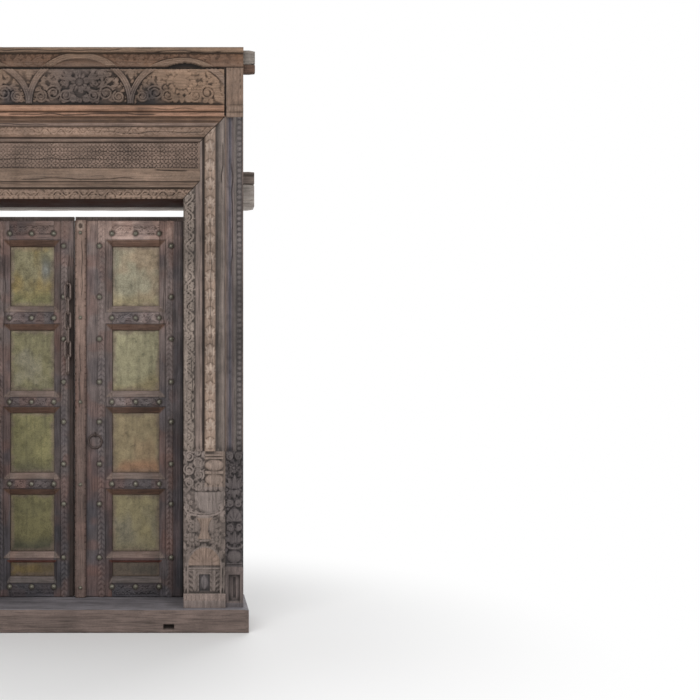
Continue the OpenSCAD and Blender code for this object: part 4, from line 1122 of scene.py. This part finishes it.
def build_leaf_piece(side, node, seed):
    lo, hi = own(side, node)
    stile, hanging = node in REEDS, node == "hanging_stile"
    x1 = LEAF_EDGE if hanging else hi[X]
    low = span(side + "_bottom_rail", Z)[0] if stile else lo[Z]
    top = span(side + "_top_rail", Z)[1] if stile else hi[Z]
    x, z = grid(lo[X], x1, low, top, *(STILE_CELL if stile else RAIL_CELL))
    b = leaf_board(side, x, z, node, seed)
    if stile:
        b.cracks("z", seed, (1, 1250, 330, lo[X] + 20, 1.5, 2.5))
    h = b.heights("z" if stile else "x", seed, 0.4, 0.5, 0.5)
    h = h - 1.2 * (1 - ramp(0, 3.2, to_edge(x, z, lo[X], x1, low, top)))
    shells = Shells()
    shells.face(x, z, LEAF_FACE - h, PLANK_FACE, shade(b, h - b.base, seed, 0.8, 4), DARK)
    if hanging:
        pivot_post(shells, side, low, top)
    name = side + "_" + node
    place(shells, name + "_carved", name, side + "_leaf", WOOD_Z if stile else WOOD_X)


POST_FACE = LEAF_FACE + 18
PIVOT_X = 463.0
PIVOT_Y = (LEAF_FACE + LEAF_BACK) / 2


def pivot_post(shells, side, low, rails_top):
    """The round post of a leaf with its pivots, joined to the hanging stile."""
    lo, hi = own(side, "hanging_stile")
    planks = own(side, "back_planks")[1]
    # The block in the gap beside the jamb is coloured dark as painted shade
    shells.block((LEAF_EDGE - 2, POST_FACE, low), (PIVOT_X, PLANK_FACE, rails_top), DARK)
    shells.block((planks[X] + 0.3, POST_FACE, low), (PIVOT_X, LEAF_BACK, planks[Z]), PLANK)
    shells.turned(27.5, low, planks[Z], PLANK)
    shells.turned(14.0, lo[Z], hi[Z], PLANK)


def build_planks(side, seed):
    lo, hi = own(side, "back_planks")
    x, z = grid(lo[X], hi[X], lo[Z], hi[Z], *PLANK_CELL)
    b = Board(x, z, seed)
    step = (hi[X] - lo[X]) / 3
    for k in (1, 2):
        b.cut = np.maximum(b.cut, 3 * bell(x - lo[X] - k * step, 4))
    plank = np.floor((x - lo[X]) / step)
    b.tone = PLANK * (0.85 + 0.14 * ((plank * 7) % 3))[..., None]
    b.cracks("z", seed, (1, 400, 700, lo[X] + step * 0.45, 3, 3), (2, 900, 620, lo[X] + step * 2.4, 3, 3))
    h = np.minimum(b.heights("z", seed, 0.4, 1.2), 0)
    shells = Shells()
    # The planks' sides and front are painted lighter than the planks: painted light that makes up for the
    # shade above the top rail
    shells.face(x, z, LEAF_BACK + h, PLANK_FACE, shade(b, h, seed, 0.6, 3), PLANK * 1.3, 1)
    name = side + "_back_planks"
    place(shells, name + "_worn", name, side + "_leaf", WOOD_Z)


# Main colour of each brass sheet, that of its patches and that of its foot
PANEL_TONES = {
    "right": [(srgb(132, 126, 105), srgb(138, 121, 98), srgb(134, 122, 92)),
              (srgb(132, 126, 98), srgb(125, 119, 99), srgb(128, 116, 84)),
              (srgb(126, 112, 84), srgb(128, 109, 82), srgb(132, 100, 74)),
              (srgb(125, 115, 84), srgb(112, 105, 86), srgb(112, 104, 80)),
              (srgb(85, 74, 62), srgb(73, 65, 55), srgb(70, 64, 56))],
    "left": [(srgb(112, 96, 54), srgb(105, 98, 70), srgb(104, 98, 62)),
             (srgb(103, 97, 68), srgb(114, 108, 88), srgb(92, 88, 60)),
             (srgb(112, 106, 68), srgb(96, 91, 58), srgb(80, 76, 52)),
             (srgb(98, 92, 58), srgb(80, 76, 48), srgb(62, 60, 40)),
             (srgb(100, 83, 48), srgb(84, 70, 46), srgb(84, 72, 50))],
}


def build_panel(side, i, seed):
    node = "panel_%d" % (i + 1)
    lo, hi = own(side, node)
    x, z = grid(lo[X], hi[X], lo[Z], hi[Z], *SHEET_CELL)
    main, accent, foot_tone = PANEL_TONES[side][i]
    edge = to_edge(x, z, lo[X], hi[X], lo[Z], hi[Z])
    dents = 2.2 * (fractal(x, z, 95, 95, seed, 3) - 0.5) + 0.8 * (fractal(x, z, 22, 22, seed + 3, 2) - 0.5)
    h = dents * ramp(0, 30, edge) - 0.6 * ramp(6, 0, edge)
    tone = blend(main, accent, ramp(0.42, 0.68, fractal(x, z, 85, 120, seed + 5)))
    up = (z - lo[Z]) / (hi[Z] - lo[Z]) + 0.3 * (noise(x, z, 60, 60, seed + 23) - 0.5)
    tone = blend(tone, foot_tone, ramp(0.30, 0.02, up))
    tone = tone * (0.86 + 0.28 * fractal(x, z, 34, 60, seed + 8))[..., None]
    grime = ramp(26, 0, edge + 16 * (noise(x, z, 24, 24, seed + 11) - 0.3))
    tone = blend(tone, srgb(104, 88, 76), 0.75 * grime)
    streak = ramp(0.52, 0.80, fractal(x, z, 9, 120, seed + 14))
    tone = blend(tone, tone * 0.68, 0.7 * streak)
    speck = ramp(0.64, 0.80, fractal(x, z, 11, 11, seed + 19, 2))
    tone = blend(tone, tone * 0.6, 0.6 * speck)
    if side == "left" and i == 0:
        tone = blend(tone, srgb(84, 90, 92), 0.75 * bell(x - 168, 26) * bell(z - 1505, 46))
    shells = Shells()
    shells.face(x, z, lo[Y] + 1.0 - np.clip(h, -0.9, 1.6), hi[Y], tone, main)
    name = side + "_" + node
    place(shells, name + "_sheet", name, side + "_leaf", BRASS)


def build_bead(seed):
    lo, hi = mm_box("meeting_bead")
    mid = (lo[X] + hi[X]) / 2
    rows = np.linspace(lo[Z], hi[Z], int((hi[Z] - lo[Z]) / BEAD_CELL) + 1)
    left = lo[X] + 3.0 * wander(rows, 160, seed)
    right = hi[X] - 3.0 * wander(rows, 190, seed + 1)
    x = left[:, None] + (right - left)[:, None] * np.linspace(0, 1, BEAD_COUNT)[None, :]
    z = np.repeat(rows[:, None], BEAD_COUNT, 1)
    b = Board(x, z, seed)
    high = LEAF_FACE - lo[Y]
    across = (x - left[:, None]) / (right - left)[:, None] - 0.5
    b.base = high - 7 * np.clip(np.abs(across) / 0.5, 0, 1) ** 4 - 2.5
    knot = np.clip(1 - (repeat(z - lo[Z], 118.0) / 0.3) ** 2, 0, 1) * np.clip(1 - (across / 0.36) ** 2, 0, 1)
    row = 2.2 * chevron(z, x - mid, 30, 20) * (knot <= 0) * ramp(1500, 900, z)
    b.relief = np.maximum(1.6 * knot, row)
    b.base = b.base - 2.2 * (np.abs(across) > 0.38) * (np.abs(repeat(z, 29.0)) < 0.09)
    b.tone = blend(BEAD_LOW, BEAD_TOP, ramp(560, 1720, z))
    b.tint(RED, 0.5 * ramp(0.5, 0.75, noise(x, z, 60, 190, seed + 4)) * ramp(1300, 700, z))
    b.cracks("z", seed, (2, 900, 300, -20, 1.5, 2.5), (3, 1380, 260, -8, 1.5, 2.5))
    # A worn nail hole near the top, with a pale rim
    away = np.hypot(x - mid, 0.8 * (z - hi[Z] + 24))
    hole = ramp(12, 6, away)
    b.base = b.base - 4 * hole
    b.tint(PALE, 0.5 * ramp(20, 14, away))
    b.tint(DARK, 0.75 * hole)
    h = np.clip(b.heights("z", seed, 0.4, 0.6), 2, high)
    shells = Shells()
    shells.face(x, z, LEAF_FACE - h, LEAF_FACE, shade(b, h, seed, 0.6), BEAD_LOW)
    place(shells, "meeting_bead_carved", "meeting_bead", "right_leaf", WOOD_Z)


# Plain timbers

def outline_rect(y0, y1, z0, z1, r, per):
    """Points round a rounded rectangle in Y and Z, about per millimetres apart, and which way is out."""
    pts, outward = [], []
    corners = ((y1 - r, z0 + r, -90), (y1 - r, z1 - r, 0), (y0 + r, z1 - r, 90), (y0 + r, z0 + r, 180))
    for (cy, cz, a0), (ny, nz, a1) in zip(corners, corners[1:] + corners[:1]):
        for a in np.radians(np.linspace(a0, a0 + 90, 5)):
            outward.append((math.cos(a), math.sin(a)))
            pts.append((cy + r * math.cos(a), cz + r * math.sin(a)))
        way = (math.cos(math.radians(a1)), math.sin(math.radians(a1)))
        start, end = np.array(pts[-1]), np.array([ny + r * way[0], nz + r * way[1]])
        steps = int(np.linalg.norm(end - start) / per)
        for i in range(1, steps):
            outward.append(way)
            pts.append(tuple(start + (end - start) * i / steps))
    return np.array(pts), np.array(outward)


def build_timber(node, seed, tone, r=7.0, per=10.0, cell=24.0, mortise=None, top_tone=None, horn=None):
    """A worn squared timber along X with soft edges. Its horns past the posts may be less deep."""
    lo, hi = mm_box(node)
    rim, outward = outline_rect(lo[Y], hi[Y], lo[Z], hi[Z], r, per)
    stations = np.linspace(lo[X], hi[X], int((hi[X] - lo[X]) / cell) + 1)
    steps = [x + d for x in mortise[:2] for d in (-0.5, 0.5)] if mortise else []
    steps += [side * (FRAME_X + d) for side in (-1, 1) for d in (0.2, 1.2)] if horn else []
    stations = np.unique(np.concatenate([stations, steps]))
    n, m = len(stations), len(rim)
    s = np.repeat(stations[:, None], m, 1)
    around = np.concatenate([[0], np.cumsum(np.linalg.norm(np.diff(rim, axis=0), axis=1))])
    a = np.repeat(around[None, :], n, 0)
    dent = 2.4 * np.clip(fractal(s, a, 140, 40, seed) - 0.35, 0, 1)
    dent = dent + 1.2 * np.clip(fractal(s, a, 300, 7, seed + 3, 2) - 0.4, 0, 1)
    corner = np.prod(np.abs((rim - (lo[1:] + hi[1:]) / 2) / ((hi[1:] - lo[1:]) / 2)), axis=1) ** 6
    dent = dent + corner[None, :] * 5 * np.clip(fractal(s, a, 60, 60, seed + 6, 2) - 0.3, 0, 1)
    dent = dent + 5 * np.clip(1 - np.minimum(s - lo[X], hi[X] - s) / 6, 0, 1) ** 2
    split = np.zeros_like(s)
    for k in range(5):
        rs = np.random.RandomState(seed + 40 + k)
        start = lo[X] + rs.rand() * (hi[X] - lo[X])
        length = 180 + 380 * rs.rand()
        path = rs.rand() * around[-1] + 16 * (wander(s, 90, seed + 60 + k) - 0.5)
        ends = ramp(0, 40, s - start) * ramp(0, 40, start + length - s)
        split = np.maximum(split, ends * bell(a - path, 2.5))
    dent = dent + 3 * split
    gap = np.stack([rim[:, 0] - lo[Y], hi[Y] - rim[:, 0], rim[:, 1] - lo[Z], hi[Z] - rim[:, 1]], -1)
    front, under, top = (np.argmin(gap, -1) == k for k in (0, 2, 3))
    if node == "sill":
        dent = np.where(under[None, :], 0, dent)
    # Each point moves straight in, and never past the middle of its corner
    points = rim[None, :, :] - np.clip(dent, 0, 0.8 * r)[..., None] * outward[None, :, :]
    tones = tone * (0.82 + 0.36 * fractal(s, a, 220, 60, seed + 9))[..., None]
    if top_tone is not None:
        dusty = top_tone * (0.82 + 0.36 * fractal(s, a, 200, 50, seed + 12))[..., None]
        tones = np.where(top[None, :, None], dusty, tones)
    tones = blend(tones, tones * 0.6, ramp(0.55, 0.8, fractal(s, a, 240, 26, seed + 15)) * 0.7)
    tones = blend(tones, DARK * 0.4, np.clip(split, 0, 1) * 0.9)
    if mortise:
        inside = within(s, *mortise[:2]) & (within(rim[:, 1], *mortise[2:]) & front)[None, :]
        points[..., 0] = np.where(inside, lo[Y] + 24, points[..., 0])
        tones = np.where(inside[..., None], DARK * 0.3, tones)
    if horn:
        shallow = lo[Y] + (points[..., 0] - lo[Y]) * horn / (hi[Y] - lo[Y])
        points[..., 0] = np.where(np.abs(s) > FRAME_X + 0.7, shallow, points[..., 0])
    shells = Shells()
    shells.ring(stations, points, tones)
    place(shells, node + "_worn", node, "frame", WOOD_X)


# The parts, in order from the ground up

MORTISE = (344.0, 388.0, 17.0, 35.0)
BEAM_HORN, BOARD_HORN = 110.0, 32.0
build_timber("sill", 100, SILL, 6.0, 6.0, 20.0, MORTISE, SILL_TOP)
# The lower tie beam's pale colour is painted light that makes up for its shade behind the posts
build_timber("lower_tie_beam", 120, srgb(190, 180, 172))
build_timber("upper_tie_beam", 140, srgb(128, 120, 113), horn=BEAM_HORN)
# The lower tie board is coloured paler too, as painted light for its shade behind the posts
build_timber("lower_tie_board", 160, srgb(134, 121, 113), 4.0)
build_timber("upper_tie_board", 180, srgb(94, 72, 60), 4.0, horn=BOARD_HORN)

for side, seed in (("right", 200), ("left", 260)):
    build_jamb(side, seed)
    build_post(side, seed + 20)
build_lintel(300)
build_head(320)
build_frieze(340)
build_cornice(360)

for side, seed in (("right", 400), ("left", 500)):
    for k, name in enumerate(("hanging_stile", "meeting_stile") + RAILS):
        build_leaf_piece(side, name, seed + 5 * k)
    build_planks(side, seed + 50)
    for i in range(PANELS):
        build_panel(side, i, seed + 60 + 7 * i)
build_bead(600)

for name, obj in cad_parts.items():
    if "studs" in name:
        material = STUD
    elif name in ("ring", "ring_staple"):
        material = RING
    elif name.startswith("chain_"):
        material = IRON
    else:
        continue
    obj.data.materials.clear()
    obj.data.materials.append(material)
    for polygon in obj.data.polygons:
        polygon.use_smooth = True


# Stage, light and camera

WHITE = (1, 1, 1, 1)
FLOOR_REACH = 40.0
FLOOR_DROP = 0.0005
CLEAR_FROM, CLEAR_TO = 0.9, 2.2
PICTURE = 700
SENSOR = 36.0


def build_stage():
    """A pale floor that takes shadows near the door and is white further out."""
    mesh = bpy.data.meshes.new("floor")
    r = FLOOR_REACH
    mesh.from_pydata([(-r, -r, 0), (r, -r, 0), (r, r, 0), (-r, r, 0)], [], [(0, 1, 2, 3)])
    floor = bpy.data.objects.new("floor", mesh)
    floor.location.z = -FLOOR_DROP
    bpy.context.scene.collection.objects.link(floor)
    mat = bpy.data.materials.new("pale_floor")
    tree = Tree(mat)
    away = tree.add("VectorMath", {0: tree.add("TexCoord", out="Object")}, "Value", operation="LENGTH")
    clear = tree.add("MapRange", {"Value": away, "From Min": CLEAR_FROM, "From Max": CLEAR_TO},
                     interpolation_type="SMOOTHSTEP")
    share = tree.add("Math", {0: tree.seen(), 1: clear}, operation="MULTIPLY")
    pale = tree.add("BsdfDiffuse", {"Color": (0.93, 0.93, 0.93, 1)})
    white = tree.add("Emission", {"Strength": 1.0})
    tree.add("OutputMaterial", {0: tree.add("MixShader", {0: share, 1: pale, 2: white})})
    mesh.materials.append(mat)


def build_world(strength):
    """Soft light from all sides, in front of a white backdrop."""
    world = bpy.data.worlds.new("studio")
    bpy.context.scene.world = world
    tree = Tree(world)
    soft, white = (tree.add("Background", {"Color": WHITE, "Strength": s}) for s in (strength, 1.0))
    tree.add("OutputWorld", {0: tree.add("MixShader", {0: tree.seen(), 1: soft, 2: white})})


def area_light(name, at, aim, size, power):
    data = bpy.data.lights.new(name, "AREA")
    data.shape = "SQUARE"
    data.size = size
    data.energy = power
    lamp = bpy.data.objects.new(name, data)
    lamp.location = at
    lamp.rotation_mode = "QUATERNION"
    lamp.rotation_quaternion = (Vector(aim) - Vector(at)).to_track_quat("-Z", "Y")
    bpy.context.scene.collection.objects.link(lamp)


def build_camera():
    """The photograph's view: level, square to the door, with the door at the left of the picture."""
    data = bpy.data.cameras.new("camera")
    data.sensor_width = SENSOR
    data.lens = 1025 / PICTURE * SENSOR
    data.shift_x = 0.24
    data.shift_y = 40 / PICTURE
    camera = bpy.data.objects.new("camera", data)
    camera.location = (0.420, -4.335, 0.988)
    camera.rotation_euler = (math.radians(90), 0, 0)
    bpy.context.scene.collection.objects.link(camera)
    bpy.context.scene.camera = camera


build_stage()
build_world(0.46)
area_light("key", (-1.5, -4.6, 2.9), (0, 0, 1.2), 3.2, 130)
area_light("fill", (3.4, -3.6, 2.2), (0.3, 0, 1.2), 2.5, 60)
area_light("back", (1.5, 3.6, 3.6), (0, 0, 1.2), 3.0, 90)
build_camera()
bpy.context.scene.view_settings.view_transform = "Standard"
